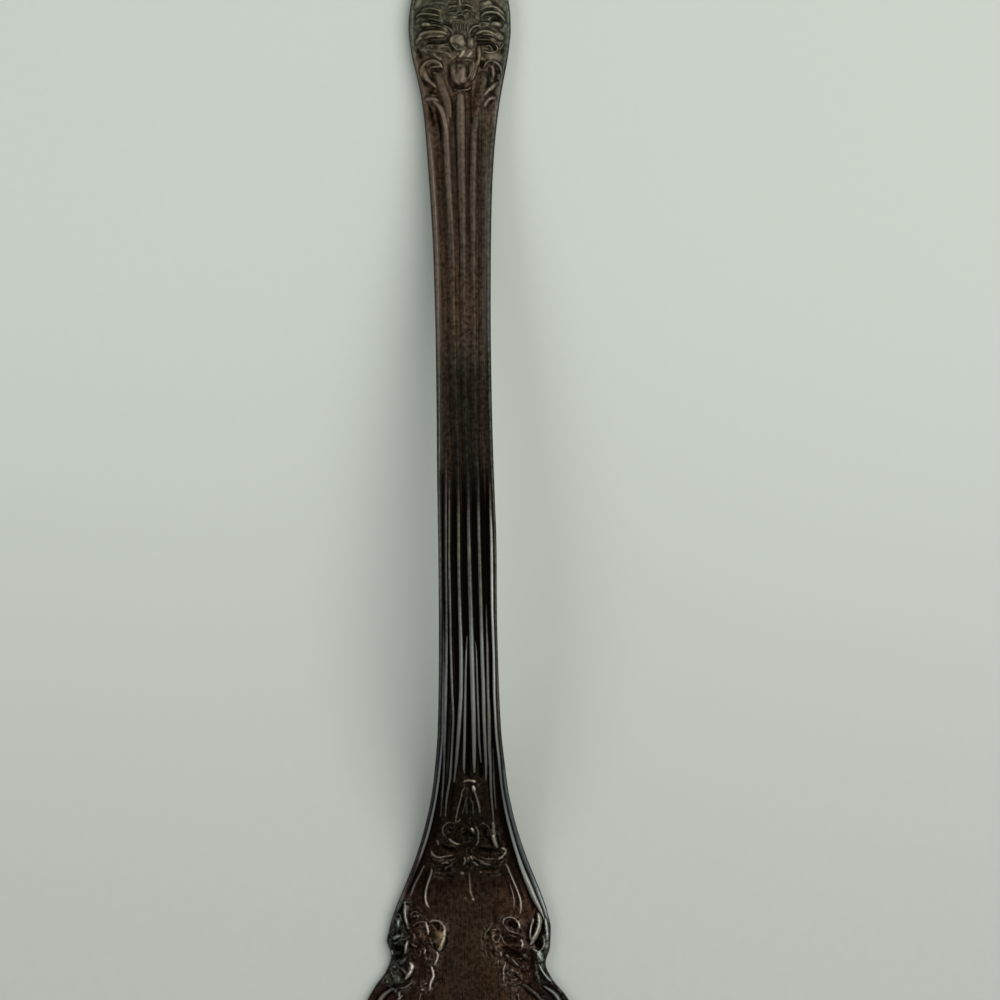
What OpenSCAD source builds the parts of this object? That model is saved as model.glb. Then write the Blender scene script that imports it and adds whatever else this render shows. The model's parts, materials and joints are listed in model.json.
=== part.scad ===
// Oyster fork with a reeded stem and struck ornament, lying on its back with the tines towards +Y.
// The origin is at the middle of the fork's box, on the surface that it rests on.

/* [Lengths along the fork] */
// Broad end of the handle, from its tip to the pinch
handle_end_l = 19.1; // [14:0.1:26]
// Flared shoulder, from the pinch to the stem
shoulder_l = 21.9; // [18:0.1:28]
// Slender stem
stem_l = 59; // [45:0.5:75]
// Ornamented neck, from the stem to the head
neck_l = 13.6; // [11:0.1:18]
// Solid palm of the head, up to the roots of the tines
palm_l = 8.9; // [6:0.1:12]
// Tines, from root to tip
tine_l = 23.5; // [16:0.5:32]

/* [Widths] */
// Widest part of the handle's end
handle_w = 21.4; // [18:0.1:26]
// Pinch between the handle's end and the shoulder
pinch_w = 15; // [12:0.1:17]
// Widest part of the shoulder
shoulder_w = 16; // [14:0.1:20]
// Narrowest part of the stem
stem_w = 5.2; // [4:0.1:7]
// Widest part of the neck
neck_w = 9.96; // [8:0.01:12]
// Head across the roots of the tines
palm_w = 10.6; // [9:0.1:13]
// One tine near its root
tine_w = 2.3; // [1.6:0.1:2.8]
// One tine just behind its point
tine_tip_w = 1.1; // [0.6:0.1:1.5]

/* [Thickness and bend] */
// Plate of the handle's end
handle_t = 1.7; // [1.2:0.1:2.4]
// Stem at its middle
stem_t = 2.7; // [2:0.1:3.6]
// Neck
neck_t = 2; // [1.5:0.1:2.8]
// Palm of the head
palm_t = 1.5; // [1:0.1:2.2]
// Tines at their tips
tine_tip_t = 0.8; // [0.5:0.1:1.2]
// Height of the stem's underside at the top of its arch
arch_h = 7.8; // [4:0.1:12]
// Rise of the tine tips above the palm
tip_rise = 5.4; // [2:0.1:9]
// Hollow of the head, from its edges to its middle
dish_h = 0.5; // [0.2:0.1:1]

/* [Ornament] */
// Height of the raised ornament above its ground
relief_h = 0.6; // [0.3:0.05:0.9]
// Half the breadth of an ordinary raised strand
strand_w = 0.42; // [0.3:0.01:0.6]
// Half the breadth of a stem reed
reed_w = 0.52; // [0.35:0.01:0.62]
// Half the breadth of the outer rim
rim_w = 0.42; // [0.25:0.01:0.55]
// Flowers' round centres, as a radius
bead_r = 0.62; // [0.4:0.01:0.8]

/* [Hidden] */

// Where each length starts, measured from the handle's tip
shoulder_start = handle_end_l;
stem_start = shoulder_start + shoulder_l;
neck_start = stem_start + stem_l;
palm_start = neck_start + neck_l;
tine_start = palm_start + palm_l;
overall_l = tine_start + tine_l;

// Depth to which raised work is rooted in its ground
root_sink = 0.15;
// Depth ground off the back of the handle's end to give it a flat rest
flat_cut = 0.04;
// Spacing of the cross sections along a plate, and along raised work
plate_step = 1.6;
raised_step = 1.1;
// Overrun of a cut past the metal
overrun = 1;
bead_fn = 24;

// Outlines: place as a share of the length, half width as a share of the half width that it follows
handle_outline_shares = [[0, 0.12], [0.03, 0.24], [0.12, 0.55], [0.28, 0.83], [0.43, 0.963],
    [0.6, 1], [0.71, 0.963], [0.79, 0.905], [0.84, 0.845], [0.89, 0.78], [0.94, 0.725]];
shoulder_outline_shares = [[0.06, 0.975], [0.1, 1], [0.17, 0.97], [0.26, 0.9], [0.35, 0.806],
    [0.44, 0.706], [0.53, 0.615], [0.62, 0.542], [0.71, 0.487], [0.8, 0.445], [0.89, 0.415]];
stem_outline_shares = [[0, 1.18], [0.09, 1.1], [0.22, 1.053], [0.38, 1.022], [0.53, 1], [0.64, 1.006],
    [0.77, 1.055], [0.87, 1.145], [0.955, 1.27]];
neck_outline_shares = [[0, 0.717], [0.17, 0.781], [0.32, 0.857], [0.53, 0.958], [0.71, 1],
    [0.89, 0.952], [1, 0.9]];
palm_outline_shares = [[0.25, 0.87], [0.6, 0.96], [1, 1]];

// Bend of the underside: place as a share of the whole length, height as a share of the arch
arch_shares = [[0, 0], [0.175, 0], [0.203, 0.15], [0.236, 0.44], [0.269, 0.68], [0.302, 0.85],
    [0.369, 1], [0.435, 0.94], [0.502, 0.77], [0.568, 0.54], [0.635, 0.26], [0.7, 0.06],
    [0.75, 0], [1, 0]];
// Rise of the tines: place as a share of their length from the middle of the palm, height as a share
rise_shares = [[0, 0], [0.15, 0.02], [0.4, 0.22], [0.7, 0.58], [1, 1]];
// Cross section: how far across each point lies, as a share of the half width
across_shares = [1, 0.93, 0.8, 0.5, 0, -0.5, -0.8, -0.93, -1];
belly_across_shares = [-1, -0.88, -0.72, -0.5, 0.5, 0.72, 0.88, 1];
// Fall of the top towards its edges, and lift of the underside, as shares of the thickness
crown_share = 0.38;
belly_share = 0.42;
// Flat middle of the underside, as a share of the half width
belly_flat_share = 0.5;
// Cross section of raised work: across and up, as shares of its half breadth and height
ridge_shares = [[-1, 0], [-0.62, 0.78], [0, 1], [0.62, 0.78], [1, 0]];

function mix(a, b, t) = a + (b - a) * t;
function scaled(rows, start, length, value) = [for (r = rows) [start + r[0] * length, r[1] * value]];

// Smooth monotone curve through rows of place and value
function secant(rows, i) = (rows[i + 1][1] - rows[i][1]) / (rows[i + 1][0] - rows[i][0]);
function slope(rows, i) =
    i == 0 ? secant(rows, 0) :
    i == len(rows) - 1 ? secant(rows, i - 1) :
    let (a = secant(rows, i - 1), b = secant(rows, i))
    a * b <= 0 ? 0 : 2 * a * b / (a + b);
function row_before(rows, x) = max([0, for (i = [0 : len(rows) - 2]) if (rows[i][0] <= x) i]);
function along(rows, x) =
    let (i = row_before(rows, x), p = rows[i], q = rows[i + 1], h = q[0] - p[0],
        t = max(0, min(1, (x - p[0]) / h)))
    (1 + 2 * t) * (1 - t) ^ 2 * p[1] + t * (1 - t) ^ 2 * h * slope(rows, i)
    + t ^ 2 * (3 - 2 * t) * q[1] - t ^ 2 * (1 - t) * h * slope(rows, i + 1);

outline = concat(
    scaled(handle_outline_shares, 0, handle_end_l, handle_w / 2),
    [[shoulder_start, pinch_w / 2]],
    scaled(shoulder_outline_shares, shoulder_start, shoulder_l, shoulder_w / 2),
    scaled(stem_outline_shares, stem_start, stem_l, stem_w / 2),
    scaled(neck_outline_shares, neck_start, neck_l, neck_w / 2),
    scaled(palm_outline_shares, palm_start, palm_l, palm_w / 2));
thickness = [[0, handle_t * 0.8], [handle_end_l * 0.15, handle_t], [shoulder_start, handle_t],
    [shoulder_start + shoulder_l * 0.5, mix(handle_t, stem_t, 0.35)],
    [stem_start, mix(handle_t, stem_t, 0.9)], [stem_start + stem_l * 0.4, stem_t],
    [neck_start, mix(stem_t, neck_t, 0.7)], [neck_start + neck_l * 0.7, neck_t],
    [tine_start, palm_t], [overall_l, tine_tip_t]];
arch = scaled(arch_shares, 0, overall_l, arch_h);
rise = scaled(rise_shares, palm_start + palm_l / 2, palm_l / 2 + tine_l, tip_rise);
dish = [[neck_start + neck_l / 2, 0], [tine_start, dish_h], [overall_l, dish_h]];

// Heights: s runs from the handle's tip, x across from the middle line
function half_w(s) = along(outline, s);
function under_z(x, s) = along(arch, s) + along(rise, s) + along(dish, s) * (2 * x / palm_w) ^ 2;
function crown(u) = 1 - crown_share * abs(u) ^ 3;
function belly(u) =
    belly_share * (max(0, abs(u) - belly_flat_share) / (1 - belly_flat_share)) ^ 2;
function top_z(x, s) = under_z(x, s) + along(thickness, s) * crown(min(1, abs(x) / half_w(s)));

// A closed ring of the plate at s, from the left edge to the right edge
function plate_ring(s, left, right) =
    let (middle = (left + right) / 2, half = (right - left) / 2, t = along(thickness, s))
    concat(
        [for (u = across_shares) let (x = middle + u * half)
            [x, s - overall_l / 2, under_z(x, s) + t * crown(u)]],
        [for (u = belly_across_shares) let (x = middle + u * half)
            [x, s - overall_l / 2, under_z(x, s) + t * belly(u)]]);

function ring_faces(count, n) = [for (i = [0 : count - 2], j = [0 : n - 1])
    let (a = i * n + j, b = i * n + (j + 1) % n) each [[a, b, b + n], [a, b + n, a + n]]];

// A closed solid through rings with the same number of points
module loft(rings) {
    n = len(rings[0]);
    count = len(rings);
    first = [for (j = [n - 1 : -1 : 0]) j];
    last = [for (j = [0 : n - 1]) (count - 1) * n + j];
    polyhedron([for (r = rings) each r], concat([first], ring_faces(count, n), [last]), convexity = 4);
}

function stations(start, end, step) =
    let (n = ceil((end - start) / step)) [for (i = [0 : n]) mix(start, end, i / n)];

module plate(start, end) {
    loft([for (s = stations(start, end, plate_step)) plate_ring(s, -half_w(s), half_w(s))]);
}

// Direction of a path at a point
function heading(path, i) =
    let (a = path[max(0, i - 1)], b = path[min(len(path) - 1, i + 1)], d = [b[0] - a[0], b[1] - a[1]])
    d / norm(d);

// Half breadth at a point, narrowed where the path bends more tightly than that
bend_limit_share = 0.8;
function breadth_at(path, i, wanted) =
    i == 0 || i == len(path) - 1 ? wanted :
    let (a = [for (k = [0, 1]) path[i][k] - path[i - 1][k]],
        b = [for (k = [0, 1]) path[i + 1][k] - path[i][k]],
        turn = acos(min(1, a * b / norm(a) / norm(b))))
    turn < 1 ? wanted :
    min(wanted, bend_limit_share * (norm(a) + norm(b)) / 2 * 180 / PI / turn);

// Raised strand along a path of [x, s, breadth share], rooted in the plate below it
module strand(path, half_breadth, height) {
    loft([for (i = [0 : len(path) - 1])
        let (d = heading(path, i), b = breadth_at(path, i, half_breadth * path[i][2]))
        [for (p = ridge_shares)
            let (x = path[i][0] - d[1] * b * p[0], s = path[i][1] + d[0] * b * p[0])
            [x, s - overall_l / 2, top_z(x, s) + (p[1] > 0 ? p[1] * height * path[i][2] : -root_sink)]]]);
}

// Smooth path through rows of [x, s, breadth share]
function bend_at(rows, i, t) =
    let (a = rows[max(0, i - 1)], b = rows[i], c = rows[i + 1], d = rows[min(len(rows) - 1, i + 2)])
    b + (c - a) * t / 2 + (2 * a - 5 * b + 4 * c - d) * t ^ 2 / 2 + (3 * b - a - 3 * c + d) * t ^ 3 / 2;
function flat_distance(a, b) = norm([b[0] - a[0], b[1] - a[1]]);
function smooth_path(rows) = concat(
    [for (i = [0 : len(rows) - 2])
        let (n = max(2, round(flat_distance(rows[i], rows[i + 1]) / raised_step)))
        for (k = [0 : n - 1]) bend_at(rows, i, k / n)],
    [rows[len(rows) - 1]]);

// A strand given in shares of a stretch: [start, length, half width], on the side -1 or 1
handle_stretch = [0, handle_end_l, handle_w / 2];
shoulder_stretch = [shoulder_start, shoulder_l, shoulder_w / 2];
neck_stretch = [neck_start, neck_l, neck_w / 2];
module stroke(rows, stretch, side = 1, breadth = strand_w, height = relief_h) {
    strand(smooth_path([for (r = rows)
        [side * r[0] * stretch[2], stretch[0] + r[1] * stretch[1], r[2]]]), breadth, height);
}
module strokes(list, stretch, side = 1, breadth = strand_w, height = relief_h) {
    for (rows = list) stroke(rows, stretch, side, breadth, height);
}

// A strand that keeps its share of the width all the way along
module line_along(start, end, across_start, across_end, breadth, height) {
    places = stations(start, end, plate_step * 1.5);
    last = len(places) - 1;
    strand([for (i = [0 : last])
        [mix(across_start, across_end, i / last) * half_w(places[i]), places[i],
            i == 0 || i == last ? 0.5 : 1]], breadth, height);
}

// A round bead seated in the plate, placed in shares of a stretch
module bead(across, place, stretch, side = 1, radius = bead_r) {
    x = side * across * stretch[2];
    s = stretch[0] + place * stretch[1];
    translate([x, s - overall_l / 2, top_z(x, s)]) sphere(r = radius, $fn = bead_fn);
}

ground = "#3a2f29";
worn = "#8a8378";

module handle_end() color(ground) difference() {
    translate([0, 0, -flat_cut]) plate(0, shoulder_start);
    translate([-handle_w, -overall_l, -overrun]) cube([2 * handle_w, 2 * overall_l, overrun]);
}

// Fan of ribs over the handle's tip
shell_ribs = 7;
shell_spread = 130;
shell_reach_shares = [0.1, 0.3];
shell_centre_share = 0.36;
shell_widening_share = 1.1;
module handle_shell() color(worn) {
    reach = handle_end_l * shell_reach_shares;
    centre = handle_end_l * shell_centre_share;
    for (i = [0 : shell_ribs - 1]) {
        angle = shell_spread * (i / (shell_ribs - 1) - 0.5);
        strand([for (k = [0 : 5]) let (r = mix(reach[0], reach[1], k / 5))
            [r * sin(angle) * shell_widening_share, centre - r * cos(angle), mix(0.45, 1, k / 5)]],
            strand_w * 1.6, relief_h);
    }
    bead(0, 0.37, handle_stretch, radius = bead_r * 1.3);
}

// Scrolled border round the handle's end
handle_border_shares = [
    [[0.7, 0.96, 0.6], [0.83, 0.84, 0.9], [0.92, 0.7, 1], [0.93, 0.55, 1], [0.86, 0.4, 0.9],
        [0.74, 0.26, 0.7]],
    [[0.53, 0.93, 0.4], [0.53, 0.89, 1.1], [0.56, 0.84, 0.4]],
    [[0.64, 0.89, 0.6], [0.72, 0.8, 0.9], [0.79, 0.68, 1], [0.76, 0.53, 1], [0.64, 0.5, 0.8],
        [0.6, 0.6, 0.6]],
    [[0.8, 0.42, 0.6], [0.7, 0.4, 0.9], [0.64, 0.33, 1]]];
module handle_border(side) color(worn) strokes(handle_border_shares, handle_stretch, side, strand_w * 1.1);

// Line that closes the plain field towards the tip
cartouche_shares = [[-0.44, 0.8, 0.6], [-0.48, 0.7, 1], [-0.45, 0.58, 1], [-0.25, 0.47, 1], [0, 0.44, 1],
    [0.25, 0.47, 1], [0.45, 0.58, 1], [0.48, 0.7, 1], [0.44, 0.8, 0.6]];
module cartouche_frame() color(worn) stroke(cartouche_shares, handle_stretch, breadth = strand_w * 0.8);

module shoulder() color(ground) plate(shoulder_start, stem_start);

// Leaves along the shoulder's edge
shoulder_leaf_shares = [
    [[0.87, 0.13, 0.5], [0.88, 0.165, 1.3], [0.84, 0.2, 0.5]],
    [[0.91, 0.11, 0.5], [0.87, 0.09, 1.3], [0.82, 0.06, 0.6]],
    [[0.73, 0.14, 0.6], [0.75, 0.18, 1], [0.73, 0.24, 0.7], [0.66, 0.26, 0.5]],
    [[0.73, 0.09, 0.5], [0.74, 0.05, 1.1], [0.7, 0.02, 0.6]]];
module shoulder_leaf(side) color(worn) strokes(shoulder_leaf_shares, shoulder_stretch, side);

// Ribbon loop, tails and round flower inside the leaves
flower_spray_shares = [
    [[0.44, 0.15, 0.6], [0.34, 0.17, 1], [0.28, 0.12, 1.3], [0.3, 0.07, 1.3], [0.36, 0.03, 0.7]],
    [[0.51, 0.16, 0.6], [0.49, 0.13, 1], [0.5, 0.1, 0.6]],
    [[0.38, 0.02, 0.6], [0.36, -0.01, 0.9], [0.41, -0.04, 0.5]],
    [[0.5, 0, 0.5], [0.46, -0.03, 1], [0.45, -0.07, 0.5]],
    [[0.66, 0.15, 0.5], [0.6, 0.18, 1], [0.53, 0.17, 0.5]],
    [[0.64, 0.08, 0.5], [0.56, 0.06, 1], [0.5, 0.07, 0.5]]];
module flower_spray(side) color(worn) {
    strokes(flower_spray_shares, shoulder_stretch, side);
    bead(0.58, 0.12, shoulder_stretch, side);
}

field_edge_shares = [[0.45, 0.4, 0.6], [0.5, 0.33, 1], [0.54, 0.27, 1], [0.56, 0.21, 0.8]];
module field_edge(side) color(worn) stroke(field_edge_shares, shoulder_stretch, side, strand_w * 0.8);

drop_shares = [
    [[0.018, 0.4, 0.6], [0.022, 0.34, 0.8], [0.03, 0.285, 1]],
    [[0.01, 0.275, 0.6], [-0.03, 0.255, 0.9], [-0.05, 0.235, 0.5]],
    [[0.05, 0.275, 0.6], [0.08, 0.255, 0.9], [0.1, 0.235, 0.5]]];
module bellflower_drop() color(worn) strokes(drop_shares, shoulder_stretch, breadth = strand_w * 0.7);

// Swags of leaves across the shoulder, under the anthemion
garland_side_shares = [
    [[0.44, 0.5, 0.7], [0.39, 0.456, 1], [0.26, 0.443, 1], [0.14, 0.45, 0.6]],
    [[0.43, 0.425, 0.7], [0.29, 0.405, 1], [0.15, 0.42, 0.6]],
    [[0.4, 0.378, 0.5], [0.29, 0.372, 0.7], [0.18, 0.378, 0.5]]];
garland_middle_shares = [
    [[-0.01, 0.48, 0.5], [-0.03, 0.45, 0.9], [-0.03, 0.41, 0.5]],
    [[0.04, 0.485, 0.5], [0.05, 0.45, 0.9], [0.045, 0.415, 0.5]],
    [[0.09, 0.48, 0.5], [0.12, 0.45, 0.9], [0.13, 0.41, 0.5]]];
module garland() color(worn) {
    for (side = [-1, 1]) strokes(garland_side_shares, shoulder_stretch, side);
    strokes(garland_middle_shares, shoulder_stretch);
}

// Bell-shaped palmette between two curls
anthemion_shares = [
    [[-0.12, 0.53, 0.6], [-0.1, 0.57, 1], [0.01, 0.597, 1], [0.12, 0.57, 1], [0.14, 0.53, 0.6]],
    [[-0.07, 0.512, 0.5], [0.01, 0.508, 0.9], [0.1, 0.512, 0.5]]];
curl_shares = [[0.15, 0.585, 0.5], [0.21, 0.597, 0.9], [0.28, 0.57, 1], [0.26, 0.54, 0.9],
    [0.19, 0.535, 0.5]];
module anthemion() color(worn) {
    strokes(anthemion_shares, shoulder_stretch, breadth = strand_w * 0.8);
    for (side = [-1, 1]) stroke(curl_shares, shoulder_stretch, side, strand_w * 0.8);
}

// Hanging ribbon where the centre reed ends
pendant_shares = [
    [[-0.06, 0.777, 0.6], [0.02, 0.782, 1], [0.1, 0.777, 0.6]],
    [[-0.04, 0.745, 0.7], [-0.1, 0.69, 1], [-0.134, 0.63, 1], [-0.15, 0.6, 0.6]],
    [[0.08, 0.745, 0.9], [0.12, 0.69, 1], [0.15, 0.63, 1], [0.17, 0.6, 0.6]],
    [[-0.02, 0.71, 0.6], [-0.03, 0.67, 0.8], [-0.005, 0.63, 0.5]],
    [[0.05, 0.71, 0.6], [0.055, 0.67, 0.8], [0.03, 0.63, 0.5]]];
module pendant() color(worn) strokes(pendant_shares, shoulder_stretch, breadth = strand_w * 0.8);

module stem() color(ground) plate(stem_start, neck_start);

// Outer rims: from the shoulder's bulge to the head
rim_start = shoulder_start + shoulder_l * 0.3;
rim_end = palm_start + palm_l * 0.6;
rim_across_share = 0.88;
module rim(side) color(worn)
    line_along(rim_start, rim_end, side * rim_across_share, side * rim_across_share, rim_w, relief_h * 0.8);

// Reeds of the stem: where they start on the shoulder and end at the neck
reed_start = shoulder_start + shoulder_l * 0.84;
side_reed_end = neck_start + neck_l * 0.05;
centre_reed_end = neck_start + neck_l * 0.22;
reed_across_share = 0.42;
module side_reed(side) color(worn)
    line_along(reed_start, side_reed_end, side * reed_across_share, side * reed_across_share,
        reed_w, relief_h * 0.8);
module reed_centre() color(worn) line_along(reed_start, centre_reed_end, 0, 0, reed_w, relief_h);

// Thin threads between rim and reed on the shoulder
thread_start = shoulder_start + shoulder_l * 0.54;
thread_end = stem_start + stem_l * 0.45;
thread_across_shares = [0.6, 0.66];
module thread(side) color(worn)
    line_along(thread_start, thread_end, side * thread_across_shares[0], side * thread_across_shares[1],
        strand_w * 0.6, relief_h * 0.6);

module neck() color(ground) plate(neck_start, palm_start);

neck_scroll_shares = [
    [[0.35, 0.4, 0.5], [0.43, 0.446, 0.8], [0.54, 0.457, 0.9], [0.67, 0.43, 1], [0.7, 0.364, 1],
        [0.56, 0.28, 0.9], [0.38, 0.186, 0.8], [0.24, 0.08, 0.5]],
    [[0.66, 0.17, 0.5], [0.54, 0.193, 0.9], [0.42, 0.14, 0.9], [0.33, 0.03, 0.7]]];
module neck_scroll(side) color(worn) strokes(neck_scroll_shares, neck_stretch, side);

// Bell-shaped collar over the end of the centre reed
collar_shares = [
    [[-0.2, 0.45, 0.6], [-0.19, 0.34, 1], [-0.1, 0.285, 1], [0.01, 0.27, 1], [0.12, 0.285, 1],
        [0.21, 0.34, 1], [0.22, 0.45, 0.6]],
    [[0.01, 0.42, 0.6], [0.01, 0.37, 1.2], [0.01, 0.31, 0.8]],
    [[-0.16, 0.235, 0.6], [0.01, 0.248, 1], [0.17, 0.235, 0.6]]];
module collar() color(worn) strokes(collar_shares, neck_stretch, breadth = strand_w * 0.9);

// Bud of two lobes with petals below it and a fan of leaves above
bud_shares = [
    [[-0.02, 0.66, 0.8], [-0.03, 0.625, 1.9], [-0.02, 0.58, 1.9], [0.01, 0.54, 0.8]],
    [[0.2, 0.64, 0.6], [0.21, 0.6, 1.1], [0.18, 0.55, 0.6]],
    [[0.05, 0.53, 0.9], [0.02, 0.505, 1.1], [-0.08, 0.475, 0.4]],
    [[0.21, 0.525, 0.8], [0.18, 0.5, 1], [0.15, 0.48, 0.4]]];
fan_ribs = 5;
fan_spread = 110;
fan_reach_shares = [0.17, 0.36];
module bud() color(worn) {
    strokes(bud_shares, neck_stretch);
    reach = fan_reach_shares * neck_w / 2;
    for (i = [0 : fan_ribs - 1]) {
        angle = fan_spread * (i / (fan_ribs - 1) - 0.5);
        strand([for (k = [0 : 3]) let (r = mix(reach[0], reach[1], k / 3))
            [r * sin(angle), neck_start + neck_l * 0.64 + r * cos(angle), mix(0.5, 0.8, k / 3)]],
            strand_w * 0.7, relief_h);
    }
}

// Arching fronds each side of the bud
palmette_shares = [
    [[0.82, 0.77, 0.4], [0.68, 0.82, 0.9], [0.46, 0.81, 0.9], [0.3, 0.77, 0.4]],
    [[0.84, 0.71, 0.4], [0.7, 0.765, 1], [0.46, 0.755, 1], [0.32, 0.72, 0.4]],
    [[0.8, 0.67, 0.4], [0.72, 0.705, 1.4], [0.52, 0.7, 1], [0.4, 0.66, 0.4]],
    [[0.8, 0.6, 0.4], [0.62, 0.65, 1.3], [0.44, 0.655, 1.3], [0.3, 0.63, 0.5]],
    [[0.8, 0.53, 0.5], [0.66, 0.565, 1], [0.55, 0.56, 1], [0.5, 0.52, 0.5]]];
module palmette(side) color(worn) strokes(palmette_shares, neck_stretch, side);

// Middle rib that runs from the fan on to the head
head_ridge_end = palm_start + palm_l * 0.5;
module head_ridge() color(worn)
    line_along(neck_start + neck_l * 0.84, head_ridge_end, 0, 0, strand_w * 0.7, relief_h * 0.6);

module palm() color(ground) plate(palm_start, tine_start);

// Tines: each takes a third of the head at its root, and a round-ended gap lies between two
tine_pitch = palm_w / 3;
tine_gap = tine_pitch - tine_w;
tine_point_share = 0.1;
function tine_half(u) =
    mix(tine_w, tine_tip_w, u) / 2 * (u < 1 - tine_point_share ? 1
        : mix(1, 0.25, ((u - 1 + tine_point_share) / tine_point_share) ^ 2));
function root_flare(d) = d >= tine_gap / 2 ? 0 : tine_gap / 2 * (1 - sqrt(1 - (1 - 2 * d / tine_gap) ^ 2));
function tine_side(row, side, s) =
    let (u = (s - tine_start) / tine_l, d = s - tine_start, outer = row == side,
        edge = outer ? mix(tine_gap / 2, 0, min(1, u * 3)) : root_flare(d))
    row * tine_pitch + side * (tine_half(u) + edge);
root_steps = 5;
module tine(row) color(ground) {
    root = tine_gap / 2;
    places = concat(
        [for (i = [0 : root_steps - 1]) tine_start + root * (1 - cos(90 * i / root_steps))],
        stations(tine_start + root, tine_start + tine_l * (1 - tine_point_share), plate_step),
        [for (i = [1 : root_steps]) tine_start + tine_l * (1 - tine_point_share * (1 - i / root_steps))]);
    loft([for (s = places) plate_ring(s, tine_side(row, -1, s), tine_side(row, 1, s))]);
}

handle_end();
handle_shell();
handle_border(-1);  // handle_border_left
handle_border(1);  // handle_border_right
cartouche_frame();
shoulder();
shoulder_leaf(-1);  // shoulder_leaf_left
shoulder_leaf(1);  // shoulder_leaf_right
flower_spray(-1);  // flower_spray_left
flower_spray(1);  // flower_spray_right
field_edge(-1);  // field_edge_left
field_edge(1);  // field_edge_right
bellflower_drop();
garland();
anthemion();
pendant();
stem();
rim(-1);  // rim_left
rim(1);  // rim_right
side_reed(-1);  // reed_left
reed_centre();
side_reed(1);  // reed_right
thread(-1);  // thread_left
thread(1);  // thread_right
neck();
neck_scroll(-1);  // neck_scroll_left
neck_scroll(1);  // neck_scroll_right
collar();
bud();
palmette(-1);  // palmette_left
palmette(1);  // palmette_right
head_ridge();
palm();
tine(-1);  // tine_left
tine(0);  // tine_centre
tine(1);  // tine_right
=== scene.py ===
import json
import math
import bpy
import numpy as np
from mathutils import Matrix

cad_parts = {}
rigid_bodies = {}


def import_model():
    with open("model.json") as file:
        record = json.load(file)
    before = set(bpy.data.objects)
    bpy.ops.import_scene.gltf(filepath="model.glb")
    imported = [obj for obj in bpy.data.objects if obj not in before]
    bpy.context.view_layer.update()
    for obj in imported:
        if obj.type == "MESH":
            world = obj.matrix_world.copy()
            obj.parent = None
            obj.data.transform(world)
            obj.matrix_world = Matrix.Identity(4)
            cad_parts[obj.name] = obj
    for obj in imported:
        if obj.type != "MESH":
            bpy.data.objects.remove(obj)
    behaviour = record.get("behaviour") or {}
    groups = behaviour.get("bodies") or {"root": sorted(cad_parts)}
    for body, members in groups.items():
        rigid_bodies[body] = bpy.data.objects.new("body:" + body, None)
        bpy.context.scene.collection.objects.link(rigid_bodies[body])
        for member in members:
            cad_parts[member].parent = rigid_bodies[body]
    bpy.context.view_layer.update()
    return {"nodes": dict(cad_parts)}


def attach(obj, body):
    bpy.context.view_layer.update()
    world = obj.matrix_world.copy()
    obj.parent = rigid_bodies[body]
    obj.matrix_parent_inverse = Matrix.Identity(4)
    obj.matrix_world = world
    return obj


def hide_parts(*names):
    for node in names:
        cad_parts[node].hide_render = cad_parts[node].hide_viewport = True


for leftover in list(bpy.data.objects):
    bpy.data.objects.remove(leftover)

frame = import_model()
nodes = frame["nodes"]
print("frame loaded:", len(nodes), "parts")

mm = 0.001

# where the picture was taken from: heights and places in millimetres, lean in degrees
cameraPlace = {"height": 500.0, "lens": 185.4, "aimAcross": 3.48, "aimAlong": -9.48, "lean": 0.58,
               "pixelsPerMm": 10.3, "middlePixel": 500}

# shares of the thickness that the top falls and the underside rises towards a side, and the side's own
# height between them; the rest is in millimetres
blankShape = {"crownFall": 0.38, "underRise": 0.42, "sideBand": 0.2, "halfLength": 73, "halfWidth": 10.69,
              "fewestPoints": 17}


# plain shape of the blank, read from the frame

def smoothLine(places, values):
    # a smooth line through rows of place and value, which never swings past them
    places, values = np.asarray(places, float), np.asarray(values, float)
    gaps = np.diff(places)
    rises = np.diff(values) / gaps
    slopes = np.zeros(len(places))
    slopes[0], slopes[-1] = rises[0], rises[-1]
    product = rises[1:] * rises[:-1]
    total = rises[1:] + rises[:-1]
    slopes[1:-1] = np.where(product > 0, 2 * product / np.where(product > 0, total, 1), 0)

    def valueAt(at):
        at = np.clip(at, places[0], places[-1])
        i = np.clip(np.searchsorted(places, at, side="right") - 1, 0, len(places) - 2)
        h = gaps[i]
        t = (at - places[i]) / h
        return ((1 + 2 * t) * (1 - t) ** 2 * values[i] + t * (1 - t) ** 2 * h * slopes[i]
                + t ** 2 * (3 - 2 * t) * values[i + 1] - t ** 2 * (1 - t) * h * slopes[i + 1])
    return valueAt


def readSections(part):
    # each cross section of a part as place, left, right, thickness, underside and dish, in millimetres
    points = np.array([v.co for v in nodes[part].data.vertices]) / mm
    sections = []
    for place in np.unique(np.round(points[:, 1], 2)):
        ring = np.unique(np.round(points[np.abs(points[:, 1] - place) < 0.006], 3), axis=0)
        if len(ring) < blankShape["fewestPoints"]:
            continue
        left, right = ring[:, 0].min(), ring[:, 0].max()
        middle = (left + right) / 2
        top = ring[np.abs(ring[:, 0] - middle) < 0.01][:, 2].max()
        edge = ring[ring[:, 0] < left + 0.002][:, 2]
        thick = (edge.max() - edge.min()) / blankShape["sideBand"]
        dish = ((edge.min() - blankShape["underRise"] * thick) - (top - thick)) / (left ** 2 - middle ** 2)
        sections.append((place, left, right, thick, top - thick - dish * middle ** 2, dish))
    return np.array(sections)


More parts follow.
